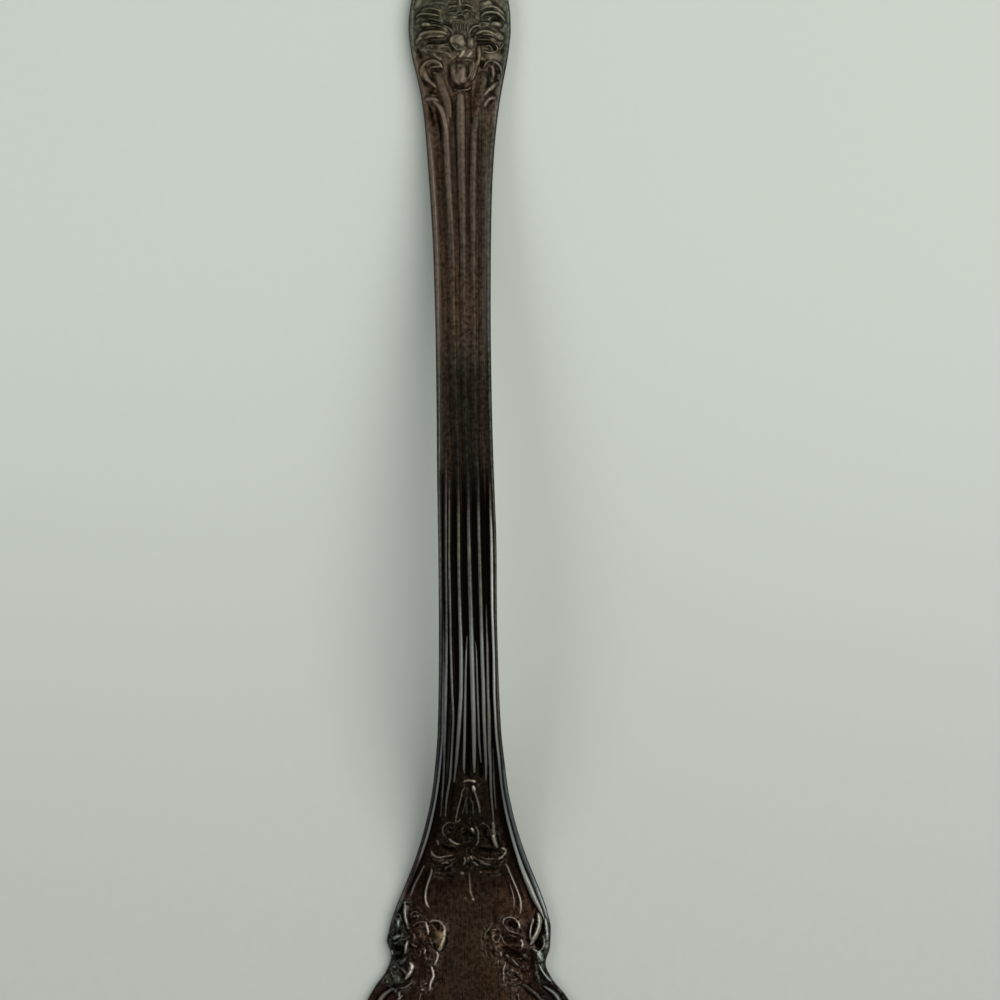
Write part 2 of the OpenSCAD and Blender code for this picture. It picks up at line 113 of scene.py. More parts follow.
blank = np.vstack([readSections("handle_end")[:-1], readSections("shoulder"), readSections("stem")[1:],
                   readSections("neck")[1:], readSections("palm")[1:]])
tineSections = {part: readSections(part) for part in ("tine_left", "tine_centre", "tine_right")}
whole = np.vstack([blank, tineSections["tine_centre"][1:]])
whole[len(blank):, 5] = tineSections["tine_left"][1:, 5]
halfBreadth = smoothLine(blank[:, 0], (blank[:, 2] - blank[:, 1]) / 2)
thickness = smoothLine(whole[:, 0], whole[:, 3])
underside = smoothLine(whole[:, 0], whole[:, 4])
dishing = smoothLine(whole[:, 0], whole[:, 5])

# the fork in the picture is a little bent, and its left side flares earlier than its right
bentMiddle = smoothLine(
    [-73, -58, -54, -50, -47, -43, -35, -25, -15, -5, 5, 15, 23.5, 27, 35, 45, 73],
    [0, 0, 0, 0.03, 0.12, 0.23, 0.32, 0.316, 0.295, 0.18, 0.12, 0.055, -0.02, 0, 0.03, 0.03, 0])
flareLag = smoothLine([-66, -60, -56, -52, -48, -46], [0, 0.3, 0.55, 0.4, 0.1, 0])
# how far each side lies inside the even outline, in millimetres
trims = {
    -1: smoothLine([-56.9, -54.5, -52.2, -51.06, -49.9, -47.6, -45.2, -42.9, -40.6, -38.2, -35.9, -31, -21.9,
                    -10.3, 1.4, 10, 20, 24.7, 29.3, 31.7, 34, 36.3, 38.65, 45],
                   [0, 0, -0.1, 0.155, 0.37, 0.475, 0.39, 0.26, 0.155, 0.117, 0.08, 0.02, 0, -0.07,
                    -0.05, -0.02, 0.02, 0.06, 0.145, 0.107, 0, 0, 0.08, 0.05]),
    1: smoothLine([-62, -58.5, -57, -54.5, -52.2, -49.9, -47.6, -45.2, -40.6, -38.2, -33.6, -21.9, -12.6,
                   -10.3, 1.4, 13, 20, 45],
                  [0, -0.2, -0.26, 0.04, -0.06, -0.107, 0.04, 0.117, 0.06, 0.06, 0, 0.01, -0.117, -0.09,
                   -0.04, -0.03, 0, 0]),
}


def edgeAt(y, side):
    return np.minimum(halfBreadth(y + side * flareLag(y)) - trims[side](y), blankShape["halfWidth"])


def shareAcross(x, y):
    return np.clip(np.where(x > 0, x / edgeAt(y, 1), -x / edgeAt(y, -1)), 0, 1)


def roundedOff(distance, radius):
    # how far a rounded edge has fallen at a distance in from it
    inside = np.clip(radius - distance, 0, radius)
    return radius - np.sqrt(np.maximum(radius ** 2 - inside ** 2, 0))


def plainTop(x, y):
    u = shareAcross(x, y)
    t = thickness(y)
    edge = np.minimum(np.where(x > 0, edgeAt(y, 1), edgeAt(y, -1)) * (1 - u), y + blankShape["halfLength"])
    crown = t * (1 - blankShape["crownFall"] * u ** 3)
    return underside(y) + dishing(y) * x ** 2 + crown - roundedOff(edge, blankShape["sideBand"] * t)


def fromPicture(points):
    # where picture points lie on the fork's top, in millimetres, with the bend taken out
    points = np.asarray(points, float)
    lean = math.radians(cameraPlace["lean"])
    dx, dy = ((points[:, i] - cameraPlace["middlePixel"]) / cameraPlace["pixelsPerMm"] for i in (0, 1))
    away = np.stack([dx * math.cos(lean) - dy * math.sin(lean),
                     -dx * math.sin(lean) - dy * math.cos(lean)], 1)
    aim = np.array([cameraPlace["aimAcross"], cameraPlace["aimAlong"]])
    spot = aim + away
    for _ in range(4):
        height = plainTop(spot[:, 0] - bentMiddle(spot[:, 1]), spot[:, 1])
        spot = aim + away * (1 - height / cameraPlace["height"])[:, None]
    return np.stack([spot[:, 0] - bentMiddle(spot[:, 1]), spot[:, 1]], 1)


# struck relief, laid out on a fine grid over the top, in millimetres

relief = {"step": 0.04, "left": -11.6, "right": 11.6, "low": -73.6, "high": 50.4}
gridAcross = np.arange(relief["left"], relief["right"], relief["step"])
gridAlong = np.arange(relief["low"], relief["high"], relief["step"])


def newLayer():
    return np.zeros((len(gridAlong), len(gridAcross)))


def flowingLine(points, steps=6):
    # a curve through all the points, with any further values carried along
    points = np.asarray(points, float)
    if len(points) < 3:
        return points[0] + (points[-1] - points[0]) * np.linspace(0, 1, steps)[:, None]
    ends = np.vstack([2 * points[0] - points[1], points, 2 * points[-1] - points[-2]])
    out = []
    for i in range(len(points) - 1):
        a, b, c, d = ends[i:i + 4]
        for t in np.arange(steps) / steps:
            out.append(b + (c - a) * t / 2 + (2 * a - 5 * b + 4 * c - d) * t ** 2 / 2
                       + (3 * b - a - 3 * c + d) * t ** 3 / 2)
    return np.array(out + [points[-1]])


def tapered(count, ends=0.5, over=0.3):
    t = np.linspace(0, 1, count)
    near = np.clip(np.minimum(t, 1 - t) / over, 0, 1)
    return ends + (1 - ends) * near * (2 - near)


profiles = {
    "round": lambda q: np.sqrt(np.clip(1 - q * q, 0, 1)) ** 1.3,
    "soft": lambda q: 0.5 + 0.5 * np.cos(math.pi * np.clip(q, 0, 1)),
    "dome": lambda q: np.clip(1 - q * q, 0, 1) ** 0.7,
    "flat": lambda q: 1 - np.clip((q - 0.55) / 0.45, 0, 1) ** 2 * (3 - 2 * np.clip((q - 0.55) / 0.45, 0, 1)),
}


def paint(layer, line, widths, heights, profile):
    # lays one stroke on a layer, keeping whichever is higher
    line = np.asarray(line, float)
    widths = np.broadcast_to(widths, len(line)).astype(float)
    heights = np.broadcast_to(heights, len(line)).astype(float)
    step = relief["step"]
    reach = widths.max() + step

    def span(values, start, size):
        return (max(0, int((values.min() - reach - start) / step)),
                min(size, int((values.max() + reach - start) / step) + 2))
    c0, c1 = span(line[:, 0], relief["left"], len(gridAcross))
    r0, r1 = span(line[:, 1], relief["low"], len(gridAlong))
    if c0 >= c1 or r0 >= r1:
        return
    nearest = np.full((r1 - r0, c1 - c0), np.inf)
    height = np.zeros_like(nearest)
    for i in range(len(line) - 1):
        part = line[i:i + 2]
        a0, a1 = span(part[:, 0], relief["left"], len(gridAcross))
        b0, b1 = span(part[:, 1], relief["low"], len(gridAlong))
        if a0 >= a1 or b0 >= b1:
            continue
        window = (slice(b0 - r0, b1 - r0), slice(a0 - c0, a1 - c0))
        x, y = gridAcross[None, a0:a1] - part[0, 0], gridAlong[b0:b1, None] - part[0, 1]
        way = part[1] - part[0]
        t = np.clip((x * way[0] + y * way[1]) / max(way @ way, 1e-9), 0, 1)
        q = np.hypot(x - t * way[0], y - t * way[1]) / (widths[i] + (widths[i + 1] - widths[i]) * t)
        closer = q < nearest[window]
        nearest[window] = np.where(closer, q, nearest[window])
        height[window] = np.where(closer, heights[i] + (heights[i + 1] - heights[i]) * t, height[window])
    value = height * np.where(nearest < 1, profiles[profile](nearest), 0)
    layer[r0:r1, c0:c1] = np.maximum(layer[r0:r1, c0:c1], value)


def softened(layer, radius):
    # three passes of a box make a smooth blur
    half = max(1, int(round(radius / relief["step"] * 0.9)))
    for _ in range(3):
        for axis in (0, 1):
            padded = np.concatenate([np.repeat(np.take(layer, [0], axis), half + 1, axis), layer,
                                     np.repeat(np.take(layer, [-1], axis), half, axis)], axis)
            sums = np.cumsum(padded, axis)
            size = layer.shape[axis]
            layer = (np.take(sums, range(2 * half + 1, 2 * half + 1 + size), axis)
                     - np.take(sums, range(0, size), axis)) / (2 * half + 1)
    return layer


def sampled(layer, x, y):
    c = np.clip((x - relief["left"]) / relief["step"], 0, len(gridAcross) - 1.001)
    r = np.clip((y - relief["low"]) / relief["step"], 0, len(gridAlong) - 1.001)
    c0, r0 = c.astype(int), r.astype(int)
    fc, fr = c - c0, r - r0
    return ((layer[r0, c0] * (1 - fc) + layer[r0, c0 + 1] * fc) * (1 - fr)
            + (layer[r0 + 1, c0] * (1 - fc) + layer[r0 + 1, c0 + 1] * fc) * fr)


body, raised, sunk, moat, worked, rubAndPaintedLight, shadeAndTarnish, cool, warm = (newLayer() for _ in range(9))
pixel = 1 / cameraPlace["pixelsPerMm"]


# what a stroke leaves: its rise and depth in millimetres for a half width of one pixel, and how far its
# hollow, its dark outline of painted shade and its creased ground reach beyond it
strokeLook = {"rise": 0.088, "risePower": 0.8, "depth": 0.1, "depthPower": 0.9, "hollowReach": 0.12,
              "hollow": 0.06, "outlineReach": 0.16, "creaseReach": 0.7, "grooveReach": 1.1,
              "grooveDark": 0.85, "glowReach": 1.1}


def strokeLine(points, steps=6):
    # a smooth line on the fork's top, through picture points given as x, y, x, y and so on
    return fromPicture(flowingLine(np.reshape(points, (-1, 2)), steps))


def swell(strokes, profile="soft", over=1.15):
    # broad forms under the finer strokes: half width in pixels, height in millimetres, brightness, points
    for width, height, bright, *points in strokes:
        line = strokeLine(points)
        taper = tapered(len(line), 0.6)
        paint(body, line, width * pixel * taper * over, height * taper, profile)
        # the form's brightness: rubbed metal with painted highlight
        paint(rubAndPaintedLight, line, width * pixel * taper * (over - 0.1), bright, "flat")


def tinge(layer, strokes):
    # soft patches of painted shade, painted highlight and tint: half width in pixels, amount, points
    for width, amount, *points in strokes:
        paint(layer, strokeLine(points), width * pixel, amount, "soft")


def strikeUp(strokes, profile="round", tall=1.0, glow="dome", outline=0.35):
    # raised strokes: half width in pixels, how bright it is rubbed with a painted highlight, points
    look = strokeLook
    for width, bright, *points in strokes:
        line = strokeLine(points)
        taper = tapered(len(line))
        w = width * pixel * taper
        h = look["rise"] * width ** look["risePower"] * tall * (0.6 + 0.4 * taper)
        paint(raised, line, w, h, profile)
        paint(moat, line, w + look["hollowReach"], look["hollow"], "soft")
        paint(rubAndPaintedLight, line, w * look["glowReach"], bright, glow)
        # a dark outline round the stroke: painted shade with dark tarnish in its hollow
        if outline:
            paint(shadeAndTarnish, line, w + look["outlineReach"], outline, "soft")
            paint(worked, line, w + look["creaseReach"], 1.0, "soft")


def strikeDown(strokes):
    # grooves and pits: half width in pixels, points
    look = strokeLook
    for width, *points in strokes:
        line = strokeLine(points)
        deep = look["depth"] * width ** look["depthPower"]
        paint(sunk, line, width * pixel * tapered(len(line), 0.7), deep, "soft")
        # the groove is painted dark: painted shade with dark tarnish
        paint(shadeAndTarnish, line, width * pixel * look["grooveReach"], look["grooveDark"], "soft")


# raised strokes on the neck, then the grooves between them
neckFronds = [
    (1.1, 0.95, 436.8, 38.4, 438.6, 37.2, 440, 37.8), (0.9, 0.6, 432.4, 37.6, 433.8, 37.2),
    (1, 0.7, 430.6, 40.2, 436, 40.5, 441.5, 40.1, 446.6, 38.4), (1.3, 1, 420.4, 49.6, 424, 50, 427, 51.4),
    (1.7, 0.85, 433.2, 53, 435.6, 55.8, 438.6, 58, 441, 59.4),
    (1, 0.5, 418, 15.4, 421, 14, 426, 13.4, 432, 14), (0.9, 0.95, 488.6, 19.8, 490.6, 17.9, 493, 16.6),
    (1, 1, 504, 28.2, 505.4, 26.4, 506.4, 24.6), (1, 0.6, 494.6, 45, 496.6, 47, 497.4, 49.4),
    (0.9, 0.4, 499.8, 49, 502, 46.4, 503.4, 43.8),
    (0.9, 0.4, 485, 45.8, 488.6, 44.9, 491.4, 47.4, 492.2, 50),
    (0.9, 0.4, 436.6, 20.4, 439, 21.2, 441, 22.6),
]
neckMiddle = [
    (1, 0.4, 459.4, -14, 459.4, -4, 459.4, 3, 459.6, 9), (0.9, 0.95, 468.2, 5.6, 471.6, 7),
    (0.9, 0.45, 457.8, 15.6, 460.4, 13.9, 463.6, 15.6), (0.9, 0.4, 455.8, 23, 457, 27, 457.8, 32),
    (0.9, 0.4, 460.4, 22, 460.6, 27, 460.8, 32.6), (0.9, 0.35, 464.6, 23.6, 463.8, 32),
    (0.9, 0.3, 468, 23.6, 466.8, 32), (1.8, 1, 459.6, 57.2, 461.8, 53.6, 463.6, 51),
    (1.6, 1, 466.8, 56.8, 469.2, 54.2, 471.2, 51.6), (1.1, 0.6, 451.4, 59.4, 454.4, 56, 458.4, 53),
    (0.9, 0.5, 471.4, 59.4, 472.8, 57.2),
]
neckScrolls = [
    (1.2, 0.9, 431.8, 67.2, 434, 67.4, 436, 66.4), (1.1, 0.85, 438.8, 67.6, 441, 66.4),
    (1.1, 0.6, 443.6, 71.4, 446, 71), (1, 0.4, 432.8, 72.6, 434.8, 72), (1.2, 1, 428.2, 102, 431, 102.2),
    (1.2, 0.5, 453.8, 89.6, 456.6, 89), (1.3, 0.6, 462.4, 89.8, 467.4, 89.6),
    (1.1, 0.8, 489, 89.6, 491.6, 87.4), (1.1, 0.45, 493.4, 85.4, 496.6, 82.4),
    (1.2, 0.6, 484.4, 105, 486.4, 102, 488.8, 99.6), (0.9, 0.4, 426, 66, 430, 63.4, 434, 62.8, 438, 65),
]
neckGrooves = [
    (1.1, 416, 13, 421, 11, 428, 10.6, 434, 11.2, 438, 12.4), (1, 418, 18.2, 424, 17, 430, 17.2, 438, 18.4),
    (1.2, 424, 20.4, 430, 21.2, 436, 22.8, 441, 25), (0.9, 430, 28.8, 434, 28.2, 443, 28.8),
    (1, 420, 31, 424, 29.4, 428, 29.6), (0.8, 431, 38.9, 436, 39),
    (2, 427.6, 43.6, 430, 41.2, 434, 42, 439, 42.6, 444, 41.9, 448, 40.2), (1.3, 420, 48, 424, 44.4),
    (2.2, 417.6, 50, 419, 53, 420.4, 57), (1.6, 449.2, 43.6, 450.8, 46.6, 452.6, 50),
    (1, 453.2, 23.4, 455.6, 28, 456.4, 32.6), (0.8, 458.8, 23, 459.2, 32), (0.8, 462.4, 23, 462.3, 32),
    (0.8, 466.4, 23.6, 465.4, 32), (0.8, 466.2, 36, 466.3, 42, 466, 49),
    (0.8, 451.6, 42.2, 455, 43.8, 459, 46), (0.9, 455, 58, 457, 55.6), (1.3, 455, 60.6, 459, 60.9, 463, 60),
    (1.3, 476, 53, 476.2, 59), (1.8, 491.4, 20, 494.8, 18.3, 499.6, 19.3),
    (1.1, 484, 17.8, 488, 16.2, 492, 15.6), (1.1, 480, 12.6, 484, 10.4, 490, 9.6, 496, 10.6),
    (1.3, 491, 0.5, 497, 4.6, 502, 9, 506, 13.6), (1.3, 476.6, 37, 484, 36.6, 491, 37.4),
    (2, 477, 40.8, 481, 43.4, 487, 42.4, 491.4, 43.4, 494.4, 47, 495, 49.6), (0.9, 487.6, 48.2, 490, 49),
    (1.6, 501.6, 52.4, 504.6, 50.4), (1, 497, 41.5, 501, 41.4), (1.6, 473.4, 32.6, 473.2, 36),
    (1.4, 443.6, 21, 446, 24, 449, 25.6), (1.9, 482.6, 62.4, 481.6, 66.8),
    (1, 488, 62.9, 490, 62.2, 492.2, 62.9), (1.6, 488.8, 68, 489.6, 74, 489, 80, 487.2, 86.4),
    (0.8, 480.6, 71, 484, 70.6, 487.4, 71.4), (1.8, 497, 71.4, 498.6, 73), (1.9, 496.6, 76, 495.6, 80.4),
    (1.4, 489.6, 92.6, 494.4, 93), (1.6, 492, 101, 489.8, 104, 488, 110),
    (1.4, 430.2, 74, 431, 71.2, 435, 69.8, 438.6, 70.8, 441.6, 69.6),
    (0.9, 430, 64.9, 434, 64.5, 438, 66.2), (1.1, 440.4, 68.9, 442.6, 70.6),
    (2.6, 423.4, 82.6, 427, 84, 430.6, 86.6, 433, 89), (1.6, 428.6, 92, 431, 91.4, 435, 93.6),
    (1.8, 432, 75, 432.6, 79.6), (1.7, 448, 64, 448, 74, 449.4, 82, 452.4, 87), (1, 455.9, 64, 456.2, 72),
    (1.3, 467.4, 66, 467.4, 76), (1.7, 453.6, 86.8, 458, 87.5, 463.4, 86.5), (1, 451.4, 89.4, 453, 92),
    (2.2, 427, 105.8, 429.6, 110, 432, 116), (1.8, 436, 111, 438.2, 120, 440.2, 132),
    (1.2, 452.6, 96, 453.2, 108, 453.8, 122), (1.6, 470.4, 90, 470.4, 104, 471, 122),
    (1.3, 476.6, 80, 475.8, 88, 474, 98, 472.8, 108), (1.1, 450.8, 5, 453, 4, 456.6, 4),
    (1.2, 462, 8, 467, 7.6, 470.6, 9), (1.2, 457.4, 18, 461, 17.4, 463.8, 18.6),
    (1.1, 449, 10.6, 456, 10.4), (1.3, 468.6, 13, 470.4, 15.4), (1, 478, 20.8, 484, 20.6, 488, 21.4),
    (1, 489, 25, 495, 28.4, 500, 30.4),
]

# raised strokes on the shoulder, from the pendant down to the sprays
pendantStrokes = [
    (1.4, 0.6, 463, 782.4, 466.6, 780.9, 472, 780.6), (1.5, 0.95, 472, 781.4, 475.6, 781.8),
    (1.1, 0.4, 476.4, 782.4, 478.4, 785.2, 480, 786), (2.3, 1, 473.2, 787, 474.6, 790.6),
    (1.1, 0.62, 465, 787, 462.4, 792, 460.4, 800, 458, 810, 456, 818, 455.4, 822),
    (1, 0.6, 455.6, 822, 459, 821, 460.8, 819), (1.4, 0.66, 473.8, 791, 476.4, 797, 478.6, 805, 480, 813),
    (1, 0.35, 480, 813, 480.8, 819, 482, 823), (1.2, 0.4, 466.4, 797, 464.4, 806, 462.4, 815),
    (1, 0.3, 467, 798, 466.4, 808, 467.4, 815), (1.2, 0.42, 470, 797, 472.4, 803, 473, 811, 474, 817),
    (1.1, 0.35, 469.6, 816, 470, 822, 470.8, 828),
]
anthemionStrokes = [
    (1, 0.35, 459, 836, 461, 831, 464, 827, 466, 823), (1, 0.3, 456.4, 839, 457.6, 834, 460, 829),
    (1.4, 0.95, 471.4, 828, 474, 832), (1.2, 0.6, 474.8, 826, 477.6, 830, 478.4, 836, 478, 842, 476, 846),
    (1, 0.35, 461, 842.6, 466, 842, 470, 841.4, 474, 843),
    (1.2, 0.5, 455.6, 824, 451, 822.6, 446.6, 823.6, 443.4, 827, 442.8, 832, 444.6, 836, 447, 838),
    (0.9, 0.35, 448, 827.4, 451.6, 828.4, 453, 829.8), (0.9, 0.35, 447, 831.6, 450.4, 833),
    (1, 0.3, 440.6, 832, 441.6, 836.4, 444, 839), (1.4, 0.6, 448.6, 838.6, 452, 842, 456, 844, 460, 844.6),
    (1.1, 0.45, 452, 845.2, 456, 847.6),
    (1.2, 0.42, 479, 824.8, 483, 823.6, 487, 825.6, 489.6, 829, 490.6, 834, 491, 838),
    (1, 0.3, 480, 838, 484, 838.6, 488, 841), (1.8, 0.6, 493, 822.6, 494.4, 828),
    (2.7, 0.95, 492.4, 836, 494, 840, 495.6, 844, 497, 847.4),
    (1.5, 0.35, 496.6, 831, 499.6, 837, 500.4, 845), (1, 0.65, 437, 839.8, 438.6, 845.6),
    (1.4, 0.8, 501.6, 848, 505.4, 850, 505.4, 853, 502, 857, 498, 859.6), (1, 0.3, 497, 852.6, 500, 854.6),
]
garlandStrokes = [
    (1.3, 0.55, 431, 850, 433, 855, 438, 857.4, 446, 856.6, 455, 855),
    (1.1, 0.35, 430.4, 853, 433, 859, 438, 861), (1, 0.4, 456, 858, 452, 860, 446, 860.6),
    (1.3, 0.55, 441, 864, 446, 862.8, 449, 863.6), (1.1, 0.4, 436, 866.6, 440, 865.4, 443.4, 867.4),
    (1.6, 0.4, 444.6, 868.4, 449, 866.6, 454, 864.6), (1.1, 0.35, 466.4, 848.6, 466.6, 856),
    (1.1, 0.4, 471, 849, 472.6, 855), (1.3, 0.65, 464, 857, 465.2, 861, 463.4, 865),
    (1.1, 0.5, 468.4, 857.6, 467.2, 863), (1.2, 0.65, 470.6, 855.6, 472.4, 859.4),
    (1.3, 0.55, 472, 862, 476, 864.2, 478.4, 866), (1.1, 0.45, 474, 857.4, 478, 860, 484, 862),
    (1.5, 0.5, 480, 862.8, 486, 864.4, 491, 865.6), (1.1, 0.35, 484, 866.6, 490, 867.8),
    (1.1, 0.38, 477, 856.4, 484, 858.6, 492, 859, 497, 859.6), (1.2, 0.5, 500, 862.4, 504, 861.4),
    (1.2, 0.4, 498.6, 866.4, 502, 864), (0.8, 0.35, 482, 872.6, 492, 872.8, 500, 872),
    (0.8, 0.2, 436, 874.6, 445, 875.4, 455, 874.6), (1.9, 0.5, 461, 873.4, 463.4, 873.8),
    (1.7, 0.45, 480, 872.2, 482, 872.6), (0.8, 0.5, 444, 870.4, 447, 869),
    (0.8, 0.5, 450, 871, 453.4, 869.4), (0.8, 0.45, 437, 870, 440, 871.4), (0.8, 0.4, 430, 866, 433, 868.4),
    (0.8, 0.5, 466, 866, 468.4, 868), (0.8, 0.5, 470, 867.4, 473, 869.6),
    (0.7, 0.45, 475.4, 868, 479, 869.4), (0.8, 0.4, 486, 869.6, 490, 870),
    (0.8, 0.4, 494, 868.6, 498, 869.6),
]
dropStrokes = [
    (1.1, 0.9, 469.2, 871, 469.6, 879, 470, 886.4, 470.6, 892.7, 473.4, 899.4),
    (1.3, 0.4, 464.4, 898, 465.6, 899), (1.5, 0.6, 472, 899, 473.8, 900.6),
]
fieldEdges = [
    (1.6, 0.85, 431.6, 867.6, 431.4, 873, 428, 883, 425.6, 892, 425.4, 900, 427, 905, 429, 908),
    (1.7, 0.85, 505.6, 864, 508, 868, 511, 876, 514.6, 884, 518, 892, 520.4, 900, 521, 908, 520, 914),
    (1.3, 0.55, 509.6, 883, 512.6, 893, 514, 902, 513.4, 911), (0.9, 0.3, 516, 878, 522, 891, 527, 903),
    (0.8, 0.25, 434, 885, 434, 901), (0.8, 0.25, 421.4, 889, 421, 903),
    (2.2, 0.36, 424, 866, 419, 876, 414, 886, 410.6, 896), (1.3, 0.5, 415.6, 884, 412.4, 890.6, 409.8, 897),
]
leftSpray = [
    (2, 0.6, 405, 903, 404.6, 911, 405.6, 919, 408, 926), (1.2, 0.4, 400.8, 903.4, 405, 901.6, 409.2, 903),
    (1, 0.45, 394.6, 922, 396.4, 916.4, 399, 914, 401, 918, 403, 924, 404.4, 929),
    (1.2, 0.75, 397.4, 919.6, 398.6, 927), (1, 0.35, 390.6, 940, 392, 935, 395, 932),
    (2.4, 0.6, 393.4, 939, 396.4, 936.6, 399.4, 935),
    (1.1, 0.4, 391, 944.4, 396, 943.2, 401, 939.8, 408, 938.6),
    (1.8, 0.85, 407.6, 941, 406, 947, 404.6, 953.4), (1.3, 0.6, 391.6, 949.6, 392.4, 955),
    (1.1, 0.35, 410.4, 920.6, 410.6, 914.6, 414.6, 911.4, 419.4, 913),
    (1.3, 0.45, 413.6, 916.8, 414.6, 916), (1.2, 0.5, 417, 915.8, 418, 917),
    (1.2, 0.38, 412.6, 927, 416.6, 923.4, 422, 921.6, 425.4, 922.4), (0.9, 0.5, 413.6, 933, 414.6, 940.6),
    (1, 0.35, 418.6, 929.6, 421, 933.4, 419.4, 938), (0.9, 0.3, 416.4, 928, 419.6, 926.6, 423, 928.6),
    (0.9, 0.3, 423.4, 934, 424.6, 939, 422, 943), (1.4, 0.85, 426, 922.6, 427.6, 929, 428.4, 935),
    (1.5, 0.5, 429.4, 922.4, 434, 920.4, 439, 921.4, 442.4, 925), (1, 0.5, 432, 925, 434.4, 927.4),
    (1.5, 0.62, 443, 925, 444.8, 930, 445.4, 936),
    (2.6, 0.78, 444.6, 936, 443.4, 942, 441, 947.6, 438.8, 950),
    (1.2, 0.35, 429.6, 937, 431, 943, 434.6, 949), (1.2, 0.9, 436.6, 951.4, 437.6, 957, 434.6, 965.6),
    (1.3, 0.6, 426, 949.4, 423.8, 954), (1.2, 0.45, 411.4, 944.4, 414.4, 945.6, 417.4, 947.2),
    (1, 0.3, 424, 942.6, 425, 947, 422, 951), (1, 0.3, 413, 950, 415.6, 953.6, 413, 957),
    (1, 0.25, 418, 949, 420.4, 953, 419, 958), (0.9, 0.25, 427, 955, 429.6, 958.6, 428, 962),
    (1.4, 0.95, 431.2, 966.4, 433, 972, 433.4, 977, 431, 983, 429.4, 990),
    (1.3, 0.4, 423.6, 984.8, 427, 983.2), (1.4, 0.6, 421.6, 989.4, 423, 990),
    (2.3, 0.85, 410, 962.4, 412.2, 966, 411.4, 971, 408, 976, 405.4, 979),
    (2.6, 0.28, 400.6, 964, 403.6, 960.6, 405.4, 958), (1.3, 0.4, 392.6, 966, 396, 968.6),
    (1.2, 0.35, 390.6, 971, 393.8, 978), (0.9, 0.45, 398.4, 975, 398.6, 983),
    (1.3, 0.4, 411.4, 982.6, 407, 986.4, 400, 988.4), (1.3, 0.45, 386.4, 980, 387.6, 983),
    (1.3, 0.55, 398.8, 991, 399.4, 998, 398, 1004), (1.1, 0.3, 389, 937, 390.2, 945, 390, 951),
]
rightSpray = [
    (2.9, 0.85, 538, 913, 540.2, 920, 539.4, 928, 536, 936, 531, 944),
    (1.4, 0.7, 532.4, 921, 530.4, 930, 530, 940),
    (1.4, 0.45, 542, 934, 544.4, 941, 543, 948, 538, 951, 532, 949.4),
    (1.7, 0.55, 545.2, 918, 547, 929, 547.6, 940), (1.9, 1, 540.4, 956, 541.6, 961),
    (1.5, 0.75, 539, 965, 543, 972, 548, 978, 551.4, 981.4),
    (1.3, 0.5, 503, 925, 504, 919.8, 508, 917.4, 513, 918, 516.6, 920),
    (1.4, 0.85, 516.6, 920, 519.2, 924, 519.8, 928.6),
    (1.2, 0.42, 504.4, 924.6, 507, 928.6, 511, 931.6, 516, 933, 520, 935),
    (1, 0.32, 507.4, 933.6, 513, 936, 519, 937.8), (1.3, 0.85, 521, 938.8, 522.4, 944, 522, 948.4),
    (0.9, 0.25, 504, 944.8, 510, 945.8, 516, 945.8),
    (1.3, 0.35, 484.2, 941, 485.4, 934, 488.6, 929, 491, 927),
    (1, 0.45, 491, 929.8, 494, 929.6, 496.6, 930.4),
    (1.1, 0.4, 492, 934, 493, 940, 497, 942.2, 500, 938.6, 499, 933.6),
    (1.1, 0.42, 500.2, 934, 502.6, 940, 505, 944), (1, 0.3, 486.4, 942, 485, 950, 488, 958),
    (1, 0.3, 491.4, 945, 490.4, 956), (1, 0.35, 495, 946, 497.4, 952), (2, 0.5, 500.6, 951.4, 501.4, 956.4),
    (1, 0.5, 498, 960, 498.4, 965.4), (2.1, 0.38, 506, 954.4, 509, 957.4),
    (1.6, 0.42, 512, 959, 516, 963, 519, 966.4),
    (1.1, 0.65, 505.6, 962, 503.6, 970, 503.4, 978, 504.4, 983), (1.7, 0.45, 511, 969.6, 513.4, 971),
    (1.5, 0.4, 516.4, 971.4, 518.6, 974), (1.2, 0.35, 507, 972, 509, 976),
    (1.2, 0.4, 510, 979, 515, 979.8, 519, 978), (2.9, 0.3, 524, 954.6, 526.6, 957.4),
    (1.3, 0.3, 522, 964, 524.4, 968), (1.3, 0.3, 527, 967, 529, 971), (1.1, 0.25, 519.6, 957, 521.6, 960.6),
    (1.4, 0.35, 537, 974, 540, 980), (2.4, 0.16, 523, 984, 530, 989, 537, 995, 543, 1002),
    (1, 0.4, 546.4, 975, 555.8, 983, 563, 994), (1, 0.25, 508, 985.4, 516, 984.6, 522, 982),
    (0.8, 0.25, 515, 990, 517, 998),
]
